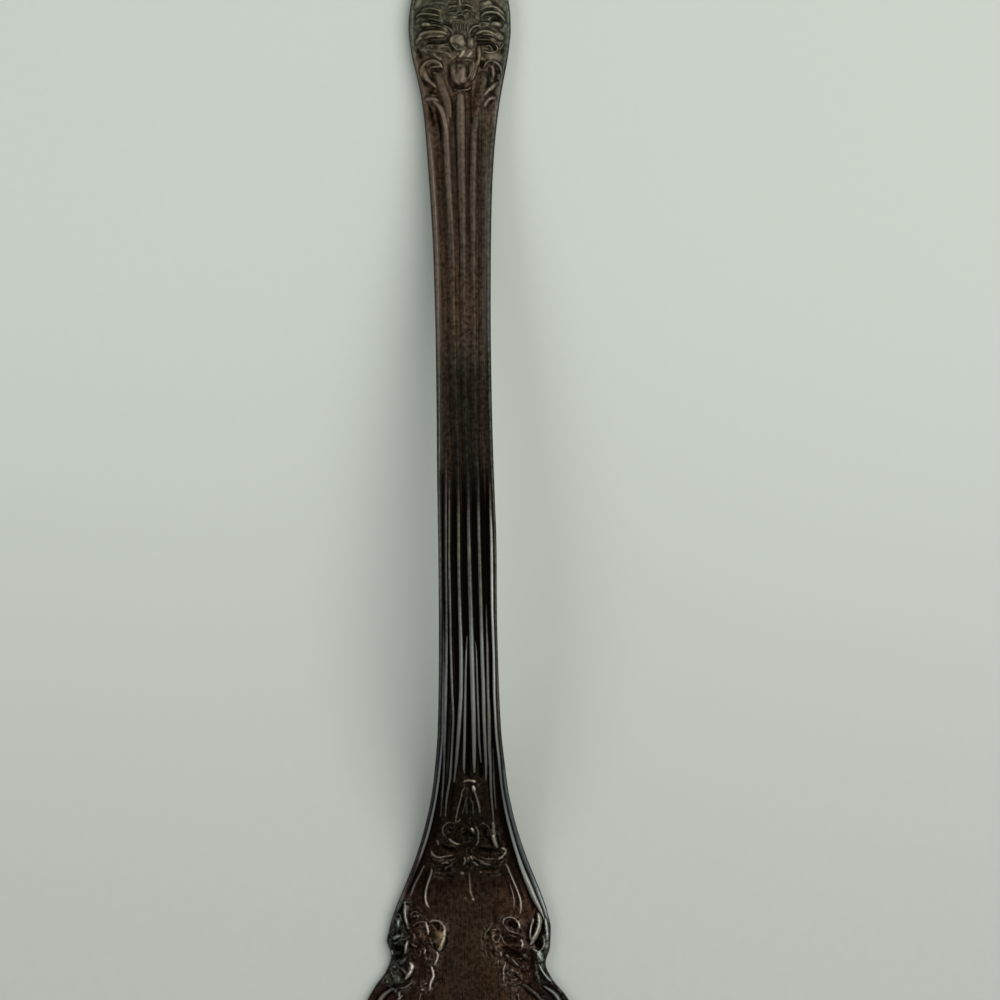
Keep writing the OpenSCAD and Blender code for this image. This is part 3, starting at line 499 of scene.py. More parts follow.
shoulderGrooves = [
    (1, 464.5, 783.4, 472, 783.2), (1.2, 468, 799, 468.6, 806, 468.2, 814), (1, 460.6, 804, 459, 814),
    (1, 475.6, 803, 477, 813), (2.6, 464, 835, 468.4, 832, 472, 836),
    (1.4, 462, 846.6, 469, 846.4, 475, 847), (2.4, 449, 829.6, 453, 831),
    (2.8, 483, 829, 485, 834, 484, 837), (3.6, 441.6, 846, 446, 849, 452, 850.4),
    (3.6, 480, 849, 487, 850.6, 492.6, 851), (1.4, 437, 870.4, 443, 872, 451, 870.6),
    (1.2, 439, 867.4, 441.4, 868), (1.6, 482, 869.6, 490, 870.4, 498, 869), (1, 467.4, 896, 468.4, 898),
    (1.3, 428.8, 870, 425, 882, 422.8, 893, 422.8, 904),
    (1.1, 509, 874, 512.8, 886, 516.4, 897, 517.6, 907), (1, 514.6, 877, 519, 887, 523.6, 900),
    (1.6, 394.8, 914, 398.4, 911, 402, 908), (3.4, 396, 949, 400, 948, 403, 951),
    (2.6, 396, 958, 400, 956.6), (2, 433.6, 924.4, 437.4, 925.6, 438.6, 929), (1.6, 434, 944, 434.2, 948.4),
    (1.2, 412.6, 959.6, 417, 962.6), (1.4, 388.4, 984, 394, 986.4, 400, 985.6, 406, 983, 411, 978),
    (2.4, 399.6, 970, 402, 973, 403.6, 976), (0.9, 533.6, 925, 532.6, 935), (3.8, 538.4, 942, 539, 945.6),
    (3.4, 509.6, 924, 513, 923.6, 515.6, 926.6), (1.8, 503.6, 948, 509, 950, 515, 951.6),
    (1.6, 495.6, 936.6, 496.4, 938.4), (2.2, 509, 953, 514, 955, 519, 955.6),
    (1.3, 501.2, 969, 501.8, 976, 501.6, 983), (1.3, 507, 962, 513, 965.6, 519, 970.4),
    (1.4, 532, 950, 532.7, 964, 533, 976), (1.2, 425.4, 944, 427.4, 950, 427.6, 957),
    (1.1, 406.4, 931, 410, 936, 411, 941), (1.2, 403.4, 914, 402.8, 920, 405.6, 927),
    (1, 416, 932, 417, 938, 420, 942), (1, 411.6, 948, 413.6, 953, 416.6, 958), (1, 421.6, 956, 424.6, 960),
    (1, 429.8, 969, 430.2, 978), (1, 488, 944, 487.6, 952, 490, 960), (1, 493.4, 947, 493.8, 956),
    (1.3, 523, 960, 528, 962), (1.1, 517, 966, 521, 970, 525, 975), (1.2, 514, 974, 520, 980),
    (1.6, 542.4, 924, 543, 932),
]
# the broad forms that carry the strokes, and the painted shade with dark tarnish in the hollows between them
neckForms = [
    (2.8, 0.16, 0.34, 414.6, 9, 417.6, 3, 419, -4),
    (2.6, 0.2, 0.3, 421, 12.6, 425, 9.4, 431, 8.6, 438, 10.6), (2.4, 0.12, 0.2, 430, 4, 437, 2.6, 446, 4),
    (2.1, 0.28, 0.46, 416.4, 17, 420, 14.4, 426, 13.8, 432, 14.6, 438.6, 15.8),
    (2, 0.2, 0.34, 416.4, 23, 418.4, 19.6, 422, 18.6), (1.8, 0.2, 0.32, 427, 19, 433, 19, 440, 21.4),
    (3.2, 0.28, 0.44, 421.6, 25.2, 425, 24.2, 428.6, 24.8),
    (1.8, 0.22, 0.36, 431, 25, 437, 25.6, 442, 27.4, 447, 30.4),
    (2.9, 0.3, 0.44, 418.6, 38.6, 421.6, 34.4, 427, 32.4, 434, 31.9, 441, 32.2, 446.6, 34),
    (2.5, 0.22, 0.38, 416.4, 44, 417.6, 40, 421, 38),
    (1.9, 0.24, 0.42, 424, 38.6, 430, 36.6, 437, 36.3, 444, 36.8),
    (1.9, 0.18, 0.34, 426.4, 47.4, 428.6, 45, 431.4, 46), (2.2, 0.15, 0.24, 433, 44.8, 438, 45, 444, 44.2),
    (1.3, 0.14, 0.4, 438, 48.4, 442, 47, 447.4, 46.8), (2.4, 0.14, 0.2, 427, 49.6, 434, 50.6, 441, 51.6),
    (2.6, 0.14, 0.34, 445.6, 52, 449, 54.6, 450, 57.4), (2.6, 0.1, 0.12, 422.6, 57.4, 428, 57, 434, 59),
    (1.8, 0.16, 0.42, 459.4, -6, 459.4, 2, 459.6, 9), (2, 0.18, 0.4, 448.6, 8.4, 451, 6.2, 456.4, 5.8),
    (1.8, 0.18, 0.36, 462, 5, 467, 5.2, 472, 7.4), (1.6, 0.16, 0.34, 463, 12, 465.4, 10, 468.6, 10.6),
    (1.5, 0.18, 0.42, 457.4, 16.6, 460.4, 14.2, 464, 16.2), (1.3, 0.14, 0.36, 448.2, 16.9, 455.8, 16.8),
    (2.6, 0.1, 0.2, 448, 12.6, 455, 12.6), (2, 0.1, 0.22, 471, 13, 476, 16, 477, 20),
    (1.8, 0.12, 0.24, 446, 20.6, 452, 20, 458, 19.6), (1.7, 0.24, 0.44, 444, 25, 449, 28.2, 453, 33),
    (1.4, 0.18, 0.28, 450, 22, 453.2, 26, 455, 31.4), (1.2, 0.18, 0.36, 456, 23, 457.2, 28, 457.8, 33),
    (1.3, 0.18, 0.38, 460.4, 21.6, 460.6, 27, 460.8, 33), (1.2, 0.18, 0.34, 464.6, 23, 463.9, 32.6),
    (1.2, 0.18, 0.32, 468.2, 23, 466.9, 32.6),
    (1.8, 0.24, 0.42, 479.6, 25.4, 474, 26.8, 470.4, 30.4, 468.6, 35.6),
    (6, 0.2, 0.38, 452.6, 38.4, 457, 40.4, 462, 43.4), (5.4, 0.22, 0.36, 456, 37, 461, 38.6),
    (4.2, 0.24, 0.38, 470.4, 38.6, 470.6, 46.6),
    (2.4, 0.26, 0.34, 452.6, 35.6, 450.6, 40, 452.6, 45.6, 456, 49), (2.2, 0.22, 0.32, 456, 50, 463, 48.6),
    (2, 0.14, 0.22, 455, 59.6, 460, 60.2, 466, 59.8, 472, 60),
    (3, 0.26, 0.34, 479, 46.4, 479.3, 54, 478.6, 60.6, 476.4, 67),
    (1.7, 0.16, 0.32, 482.4, 56.6, 483.4, 60.6), (3.2, 0.16, 0.34, 481, 5, 487, 2.4, 491.6, 2),
    (2.5, 0.18, 0.38, 480.6, 10.8, 486, 7, 493, 6.6, 500, 9.6, 505.4, 14.6),
    (2.5, 0.3, 0.42, 481.2, 17, 485, 13, 491, 12, 497, 12.8, 502, 16.8, 505.4, 21.6),
    (1.6, 0.14, 0.26, 482, 20, 487.6, 18.8), (3.6, 0.26, 0.46, 493.6, 23.6, 497, 24, 500.8, 25.2),
    (1.8, 0.18, 0.26, 479.6, 23.4, 485, 22.6, 489.6, 23.6),
    (1.7, 0.2, 0.34, 480.2, 27.6, 486, 25.8, 492, 27.6, 498, 31.4),
    (2.6, 0.28, 0.42, 476.6, 34.4, 481, 31.6, 488, 31.4, 495.6, 34.6),
    (1.5, 0.18, 0.32, 483, 35.2, 490, 35.2, 494, 36.8), (4.6, 0.24, 0.32, 497.8, 35, 501.4, 38),
    (1.5, 0.18, 0.32, 476.4, 39.8, 482, 39.4, 489, 40),
    (1.5, 0.18, 0.42, 485, 46.6, 488.6, 45.4, 491.4, 47.6, 492.4, 50.4),
    (1.7, 0.2, 0.42, 484.2, 50.8, 488, 52.6, 493, 52.4, 497.6, 50),
    (1.6, 0.2, 0.4, 494.8, 44.6, 497.2, 47, 498, 50), (1.5, 0.18, 0.4, 500, 49.6, 502.2, 46.4, 503.8, 43),
    (5.4, 0.1, 0.26, 488, 57, 494, 57.4, 500, 57),
    (2.6, 0.32, 0.42, 420.6, 76, 421, 70, 423.4, 65.6, 427.4, 62, 432, 60.6, 437, 61.8, 440.6, 65,
     442, 68.4),
    (3.8, 0.3, 0.42, 424.4, 70, 424.8, 75, 427.4, 80, 431, 84, 434, 87),
    (1.6, 0.22, 0.38, 427, 66.8, 430.4, 63.8, 434, 63.2, 438, 65.8),
    (1.8, 0.22, 0.5, 431.4, 67.4, 436, 66.8, 440.6, 67.2), (2, 0.16, 0.3, 433.6, 73, 436, 72.6),
    (4.8, 0.2, 0.24, 438, 74, 440.2, 82, 443.6, 91, 446.6, 99, 448.6, 107, 450, 116),
    (1.8, 0.22, 0.26, 441, 84, 444.4, 92, 447.4, 102), (2.4, 0.16, 0.36, 431.6, 95.4, 434.4, 94.8),
    (3, 0.26, 0.4, 424.2, 101, 428, 99.2, 433, 99, 437.6, 100.4),
    (3.5, 0.28, 0.4, 434, 102, 438.4, 105.4, 441.6, 110.6, 444, 118, 445.6, 126, 446.4, 136),
    (3.6, 0.08, 0.2, 424.6, 112, 427.4, 120, 430, 130, 432.6, 146), (8.4, 0.26, 0.2, 460, 68, 460, 76),
    (3.2, 0.24, 0.18, 452.4, 64, 452.6, 72, 454.8, 79.6, 458.4, 84),
    (3.4, 0.26, 0.38, 462, 66, 462.2, 75, 461.6, 81), (5, 0.24, 0.34, 457.6, 80, 464, 79.8),
    (2.6, 0.28, 0.18, 470.6, 64, 470.4, 72, 468, 79.6), (2.4, 0.2, 0.3, 476, 67, 474.4, 74, 471.6, 80.6),
    (1.6, 0.22, 0.4, 453.4, 90, 457.2, 89.4), (1.8, 0.22, 0.44, 461.8, 90.2, 468, 89.6, 471, 87),
    (1.6, 0.18, 0.3, 472.6, 60, 473.6, 66, 472.6, 72),
    (4.8, 0.16, 0.1, 483, 72, 483.5, 82, 481.4, 94, 478.8, 104),
    (3.8, 0.16, 0.1, 478.6, 105, 477.4, 115, 476.6, 128),
    (1.9, 0.24, 0.34, 483.6, 68, 486.6, 62.8, 491, 60.8),
    (2.3, 0.26, 0.38, 491, 61.2, 496, 62.6, 500, 66.4, 502, 71, 502, 77),
    (2.8, 0.2, 0.32, 490.8, 65.4, 492.6, 67, 493.6, 72, 493.6, 78),
    (3.2, 0.26, 0.4, 497.4, 82.4, 492.8, 86.8, 489, 90, 485.8, 93.6, 483.6, 96.4),
    (3.2, 0.26, 0.42, 496.4, 98, 490.4, 98.8, 487, 101.8, 484.4, 106.8),
    (2.6, 0.1, 0.3, 501.4, 80, 499, 90, 497.4, 100, 496, 112, 494.4, 126),
]
# painted shade with dark tarnish in the neck's creases and hollows
neckShadeAndTarnish = [
    (6.4, 0.3, 487, 104, 485.6, 130, 484, 160), (2.8, 0.25, 483, 160, 481.4, 220, 480.8, 320, 481.4, 420),
    (5.4, 0.3, 483.4, 76, 482, 92, 480, 108, 478, 122, 477, 138),
    (2.2, 0.9, 428, 43, 433, 42.2, 440, 43, 447, 41), (2.2, 0.9, 478, 41.6, 484, 43, 489, 43.4, 494, 48),
    (2, 0.9, 491.4, 19.8, 495, 18.8, 500, 19.6), (2.8, 0.8, 417, 50, 420, 54, 421, 58),
    (2, 0.8, 448.8, 42.6, 450.6, 46.6, 452, 50), (2, 0.9, 452.6, 86.4, 458, 87.4, 464, 86.4),
    (1.4, 0.5, 447.8, 64, 447.8, 78, 450, 85), (3.6, 0.85, 422.6, 82.6, 427.6, 85, 432, 88),
    (2.4, 0.7, 432, 74, 432.8, 81), (2.2, 0.6, 428.4, 92, 434, 93.4),
    (3.8, 0.7, 427.6, 106, 430.6, 114, 434, 124), (2.2, 0.8, 437, 114, 439.6, 124, 441.4, 140),
    (2, 0.5, 452.6, 96, 453.4, 110, 454, 124), (2, 0.8, 489, 69, 489.4, 78, 487.6, 86),
    (2.4, 0.9, 497.4, 70.6, 498.4, 73), (2.2, 0.9, 496.2, 76.6, 495.6, 80.6),
    (2.4, 0.8, 482.2, 62.6, 481.6, 67.4), (2.2, 0.7, 469.8, 92, 470.4, 104, 470.8, 122),
    (4, 0.6, 491.6, 104, 489.6, 113, 487.6, 124, 486.6, 136), (3, 0.4, 458, 12.4, 449, 13, 446, 18),
    (3, 0.3, 472, 18, 477, 14, 478, 8), (3.4, 0.5, 424, 57, 431, 59),
]
shoulderForms = [
    (4.2, 0.14, 0.05, 467, 790, 467, 802, 467, 814), (8, 0.2, 0.05, 467, 831, 467, 839),
    (5.4, 0.15, 0.05, 450, 830, 450.6, 832), (5, 0.15, 0.05, 485, 831, 485.6, 835),
    (6, 0.18, 0.05, 442, 847, 452, 847.6), (6.4, 0.18, 0.05, 480, 849, 490, 850.6),
    (3.2, 0.22, 0.5, 493, 827, 494.4, 836, 496, 845), (4.6, 0.14, 0.1, 435, 859, 445, 862, 456, 861),
    (5, 0.16, 0.2, 466, 858, 474, 860), (4.6, 0.14, 0.1, 482, 861, 494, 863),
    (7.4, 0.2, 0.26, 436, 930, 439, 938, 436, 944), (9, 0.18, 0.08, 419, 934, 420, 942),
    (5, 0.12, 0.08, 424, 956, 428, 960), (3.6, 0.18, 0.2, 398, 928, 398.6, 918),
    (3.6, 0.18, 0.22, 396, 938, 401, 935), (3.4, 0.16, 0.24, 407, 906, 405.6, 916, 407.6, 926),
    (4.4, 0.18, 0.2, 400, 970, 405, 974), (3.2, 0.18, 0.2, 389, 984, 396, 992),
    (5.6, 0.16, 0.12, 493, 934, 496, 944, 497, 954), (8, 0.18, 0.08, 511, 924, 512, 938),
    (8, 0.14, 0.1, 512, 966, 520, 972), (4.2, 0.26, 0.8, 538.4, 914, 538.8, 922, 536.6, 931, 532, 940),
    (2.6, 0.2, 0.6, 533.4, 919, 531.4, 927, 530, 937), (4.2, 0.26, 0.85, 539.4, 953, 541, 960.6),
    (3.6, 0.2, 0.75, 443.8, 932, 442.8, 940, 440, 947), (3.2, 0.16, 0.4, 405.4, 905, 404.8, 916, 408, 928),
    (3.4, 0.16, 0.5, 407, 942, 405.4, 952), (3.4, 0.16, 0.4, 411, 966, 407, 977),
    (3.4, 0.14, 0.2, 541, 966, 546, 976, 553, 984), (4, 0.14, 0.16, 536, 972, 540, 982),
    (4.4, 0.12, 0.14, 526, 985, 536, 993, 545, 1003),
]
# painted shade with dark tarnish over the shoulder's hollows and beside its beads
shoulderShadeAndTarnish = [
    (4.4, 0.7, 471, 833, 471, 842),
    (3.6, 0.6, 482, 827, 486, 836), (1.8, 0.6, 432, 862, 440, 863, 448, 858.6),
    (9, 0.4, 414, 918, 419, 930, 428, 936), (4, 0.45, 435, 921, 433, 930, 434, 938),
    (11, 0.4, 510, 916, 513, 932, 516, 950, 518, 966), (30, 0.42, 467, 796, 467, 830, 467, 858),
    (9, 0.55, 439, 800, 436, 830, 432, 852), (6.5, 0.9, 498, 770, 500, 796, 504, 820, 509, 842, 514, 858),
    (4, 0.6, 454, 784, 452, 800, 451, 818), (5.5, 0.9, 468, 766, 468, 777), (3, 0.7, 467, 790, 467.4, 812),
    (4.8, 0.9, 450, 828, 451, 833), (4.6, 0.9, 485, 829, 486, 838), (7, 0.9, 467, 831, 467, 842),
    (6.4, 0.9, 442, 847, 453, 848), (6.8, 0.9, 478, 849, 491, 850.6), (3.4, 0.9, 462, 847, 474, 847),
    (3.4, 0.7, 489, 861, 497, 864),
    (2.6, 0.95, 443, 752, 442, 772, 439.6, 790, 436.6, 806, 433.4, 820, 430, 834, 425.6, 848, 420, 864,
     413.6, 880, 408.4, 892),
    (3, 0.95, 495.6, 752, 496.4, 772, 497.6, 792, 499.6, 808, 503.4, 826, 508, 842, 513.4, 856, 519, 870,
     525, 884, 530, 897, 533.4, 908),
    (2.6, 0.5, 452, 790, 450, 806, 449, 818), (2.4, 0.6, 428.4, 868, 425, 880, 422.6, 892, 422.6, 902),
    (2.2, 0.6, 501, 868, 507, 882, 511.4, 896), (3.4, 0.8, 436.4, 924, 438.4, 930),
    (2.4, 0.6, 434.6, 944, 436.6, 948), (4.4, 0.9, 394, 945, 399, 949, 403, 954, 396, 958),
    (2.4, 0.8, 394.6, 915, 398, 911, 402, 909.6), (2.2, 0.7, 402.6, 914, 404, 922, 406, 930),
    (5, 0.7, 414, 932, 420, 938, 418, 946), (3.4, 0.7, 398, 974, 404, 978),
    (2.4, 0.8, 390, 985, 399, 986, 407, 983), (5, 0.85, 511, 924.6, 515, 926), (5, 0.6, 508, 940, 516, 942),
    (4.4, 0.9, 507, 951.6, 518, 953), (4.2, 0.95, 537.6, 941, 540.6, 944),
    (2, 0.8, 542.6, 922, 543, 932, 541.6, 938), (4, 0.6, 531.4, 952, 532.4, 968, 535, 984, 541, 992),
    (2.2, 0.6, 493.6, 938, 496, 941), (4, 0.5, 523, 958, 527, 970),
    (1.6, 0.6, 542.4, 964, 548, 975, 556, 986), (6, 0.4, 426, 952, 420, 958),
]
# bluish and golden tints, the bluish one along the flanks partly a painted reflection of the pale floor;
# painted highlights; and painted shade on the stem
bluishTintAndFloorReflection = [
    (9, 0.5, 412, -10, 412, 20, 414, 50),
    (8, 0.65, 507, -10, 508, 20, 505, 50, 500, 80, 496, 110, 492, 140, 489, 200, 488, 300, 489, 400,
     491, 480),
    (9, 0.3, 494, 120, 492, 140, 489, 200, 488, 300, 489, 400, 491, 480),
    (8, 0.6, 438.6, 370, 439.6, 450, 438, 530), (38, 0.5, 464, 360, 465, 430, 466, 480),
    (34, 0.34, 467, 520, 469, 600, 470, 700), (4.4, 0.8, 496.6, 470, 497, 560, 498.6, 640, 500.6, 710),
    (9, 0.9, 501, 760, 508, 800, 518, 840, 532, 875, 546, 905, 549, 940, 546, 965, 556, 985, 570, 1005),
    (8, 0.5, 487, 74, 485.6, 92, 484, 110, 484, 140, 484, 240, 484, 400),
    (9, 0.9, 438, 520, 440, 600, 440, 700, 437, 760, 430, 800, 420, 836, 404, 875, 392, 905, 386, 935,
     386, 960, 378, 985),
    (5, 0.5, 446, 520, 447, 600, 447, 700, 445, 770, 443, 800),
    (15, 1, 400, 904, 396, 935, 396, 960, 396, 985), (12, 0.9, 541, 952, 542, 975, 552, 1000),
]
warmPatches = [
    (9, 0.7, 434, 928, 438, 942), (14, 0.55, 492, 932, 492, 956, 489, 985), (5, 0.8, 442, 932, 442, 946),
    (14, 0.3, 468, 880, 470, 920, 468, 960), (8, 0.4, 424, 60, 424, 76), (6, 0.4, 480, 50, 479, 64),
    (16, 0.3, 430, 16, 436, 36),
]
# painted highlights along the flanks, on the neck and in bands on the stem
glints = [
    (4, 0.5, 512.6, 834, 520.4, 857, 529.4, 879, 538.4, 895, 544, 908),
    (3.4, 1, 460.6, 56, 462, 54, 463, 51.4), (3, 1, 467.6, 55.8, 469.4, 54, 470.8, 52.2),
    (2.6, 0.8, 434, 54.8, 436.2, 56.8, 438.6, 58.4), (2.2, 0.5, 452.6, 58, 455.4, 55, 457.4, 52.6),
    (2.4, 0.7, 432, 67.2, 434, 67, 435.6, 66.4), (2.2, 0.5, 440, 66.8, 441.4, 66),
    (2.4, 0.8, 428.4, 102, 430.6, 102.2), (2, 0.4, 495, 45, 497, 47),
    (5, 0.42, 429, 134, 435, 200, 439, 300, 440.6, 400, 441, 470),
    (4, 0.32, 494, 84, 490, 100, 487.6, 130, 486.6, 170, 485.6, 240, 485, 300, 485, 380),
    (5, 0.85, 530, 880, 538, 896, 544, 912, 547, 930, 546.4, 946), (4.6, 0.5, 543, 962, 551, 976, 561, 990),
    (4.6, 0.55, 536, 950, 539, 958, 544, 966),
    (5.4, 0.4, 448.6, 636, 451, 664, 453, 700, 451, 736, 447.6, 772),
    (2.6, 0.36, 486.6, 632, 487.6, 700, 489, 756),
    (5.4, 0.5, 504.4, 770, 508.6, 800, 515, 828, 523, 854, 532, 876, 540, 898, 546, 918, 548, 940,
     545.6, 958),
    (4, 0.32, 432, 780, 428, 806, 420, 836, 410, 866),
    (3.4, 0.34, 446.6, 136, 447.4, 160, 448.6, 186, 450, 204), (2.2, 0.3, 438.2, 520, 438.6, 560, 439, 590),
    (1.6, 0.3, 425, 866, 416, 880, 409, 895),
]
# painted shade over the middle of the stem, and dark lines beside its left thread
stemShadeAndTarnish = [
    (50, 0.5, 464, 380, 465, 440, 467, 480, 468, 520, 469, 600, 470, 630),
    (1.6, 0.9, 443, 470, 443, 520, 443.4, 560, 444, 600, 444.6, 640),
    (1.4, 0.9, 444, 690, 443.4, 720, 441.6, 748),
]
swell(neckForms, "dome", 1.05)
swell(shoulderForms)
tinge(shadeAndTarnish, neckShadeAndTarnish + stemShadeAndTarnish + shoulderShadeAndTarnish)
tinge(cool, bluishTintAndFloorReflection)
tinge(warm, warmPatches)
tinge(rubAndPaintedLight, glints)
strikeUp(neckFronds + neckMiddle + neckScrolls, "soft", 0.65, "soft", 0)
strikeDown(neckGrooves)
strikeUp(pendantStrokes + anthemionStrokes + garlandStrokes, outline=0.6)
strikeUp(fieldEdges + dropStrokes, "soft", 0.8, "soft", 0)
strikeUp(leftSpray + rightSpray)
strikeDown(shoulderGrooves)
print("relief struck on neck and shoulder")

# the handle's end lies below the picture, so its border is laid out in millimetres and mirrored
handleBorder = {
    "raised": [
        (0.34, [(7.3, -56.6), (8.5, -57.6), (9.4, -59.8), (9.5, -62.4), (8.8, -65.2), (7.4, -67.8)]),
        (0.3, [(6.5, -57.4), (7.6, -58.6), (8.1, -60.6), (7.8, -62.8), (6.7, -63.2), (6.2, -61.8),
               (6.9, -61.0)]),
        (0.32, [(7.9, -65.3), (6.7, -65.6), (5.9, -67.0), (6.2, -68.6), (5.2, -69.8)]),
        (0.22, [(5.6, -59.2), (6.1, -60.0), (5.8, -61.0)]),
        (0.24, [(7.5, -64.4), (8.2, -63.9), (8.5, -62.8)]),
        (0.2, [(5.5, -64.4), (6.1, -65.0), (7.0, -64.6)]),
        (0.2, [(5.0, -65.6), (4.9, -66.6), (5.3, -67.4)]),
    ],
    "sunk": [
        (0.2, [(7.0, -57.8), (8.2, -59.2), (8.75, -61.2), (8.5, -63.4), (7.9, -64.8)]),
        (0.22, [(7.0, -62.1), (7.3, -62.2)]),
        (0.2, [(6.6, -66.5), (6.9, -67.8), (6.4, -69.0)]),
    ],
    "cartouche": (0.24, [(-4.7, -57.2), (-5.1, -59.6), (-4.8, -61.9), (-2.7, -63.9), (0, -64.4), (2.7, -63.9),
                         (4.8, -61.9), (5.1, -59.6), (4.7, -57.2)]),
    "rise": 0.75, "hollowReach": 0.2, "hollow": 0.1, "bright": 0.3, "depth": 0.14, "lineRise": 0.15,
    "lineHollow": 0.06,
}
for side in (-1, 1):
    for width, points in handleBorder["raised"]:
        line = flowingLine([(side * x, y) for x, y in points])
        taper = tapered(len(line))
        paint(raised, line, width * taper, handleBorder["rise"] * width * (0.6 + 0.4 * taper), "round")
        paint(moat, line, width * taper + handleBorder["hollowReach"], handleBorder["hollow"], "soft")
        paint(rubAndPaintedLight, line, width * taper, handleBorder["bright"], "soft")
    for width, points in handleBorder["sunk"]:
        line = flowingLine([(side * x, y) for x, y in points])
        paint(sunk, line, width, handleBorder["depth"], "soft")
width, points = handleBorder["cartouche"]
line = flowingLine(points)
paint(raised, line, width * tapered(len(line)), handleBorder["lineRise"], "soft")
paint(moat, line, width + handleBorder["lineRise"], handleBorder["lineHollow"], "soft")

# a low ridge that runs from the neck's leaves onto the palm, in millimetres
headRidge = {"half width": 0.3, "height": 0.13, "bright": 0.24,
             "points": [(0.1, 38.4), (0.06, 41.0), (0.03, 45.0)]}
line = flowingLine(headRidge["points"])
taper = tapered(len(line))
paint(raised, line, headRidge["half width"] * taper, headRidge["height"] * taper, "dome")
paint(rubAndPaintedLight, line, headRidge["half width"] * taper, headRidge["bright"], "soft")

# valleys between the reeds, and a dark line inside each rim, painted dark with painted shade and tarnish:
# half width in pixels, how deep, points
reedValleys = [
    (2.6, 1, 440, 130, 442, 190, 445, 250, 446.5, 310, 448, 370, 450, 430, 453.5, 490, 454.2, 550, 455, 610,
     456.4, 650, 456.4, 690, 455.6, 740, 454.6, 775),
    (2, 1, 442.4, 470, 442.8, 550, 444.4, 600, 445, 636),
    (1.4, 0.5, 445, 628, 444.8, 660, 444.6, 690, 443.4, 760),
    (2, 1, 453.6, 100, 454.6, 140, 456.5, 190, 458.6, 250, 459.3, 310, 460.5, 430, 463.7, 490, 464.2, 550,
     465.2, 610, 466.6, 650, 467.6, 690, 468, 740, 468.4, 770),
    (2, 1, 467.6, 92, 469, 140, 468.6, 190, 468.8, 250, 469.2, 310, 469.6, 430, 473.4, 490, 474.2, 550,
     475.6, 610, 477.4, 650, 479, 690, 480.2, 740, 481, 775),
    (2.4, 1, 478.6, 110, 480, 140, 479.6, 190, 480, 250, 480.4, 430, 482, 490, 484, 550, 485.2, 600,
     485, 632),
    (1.4, 0.5, 485, 624, 485, 650, 485.6, 690, 486.4, 740, 487, 770),
    (1.8, 1, 487.6, 470, 488.2, 550, 489.4, 610, 490.4, 650, 491.8, 690, 493, 740, 494.6, 770),
]
# how dark the painted shade in the valleys is and how deep they are, along the fork, by place in millimetres
valleyShadeAndTarnish = smoothLine([-42, -36, -24, -19.5, -12, -9.5, -7, -4, 2, 30],
                  [0.8, 0.8, 0.8, 1, 1, 0.8, 0.55, 0.35, 0.12, 0.25])
dip = smoothLine([-42, -9.5, -4, 30], [0.2, 0.2, 0.11, 0.11])
for width, share, *points in reedValleys:
    line = strokeLine(points, 10)
    paint(sunk, line, width * pixel * tapered(len(line), 0.4, 0.08), dip(line[:, 1]) * share, "soft")
    paint(shadeAndTarnish, line, (width + 1.2) * pixel, valleyShadeAndTarnish(line[:, 1]) * share, "flat")

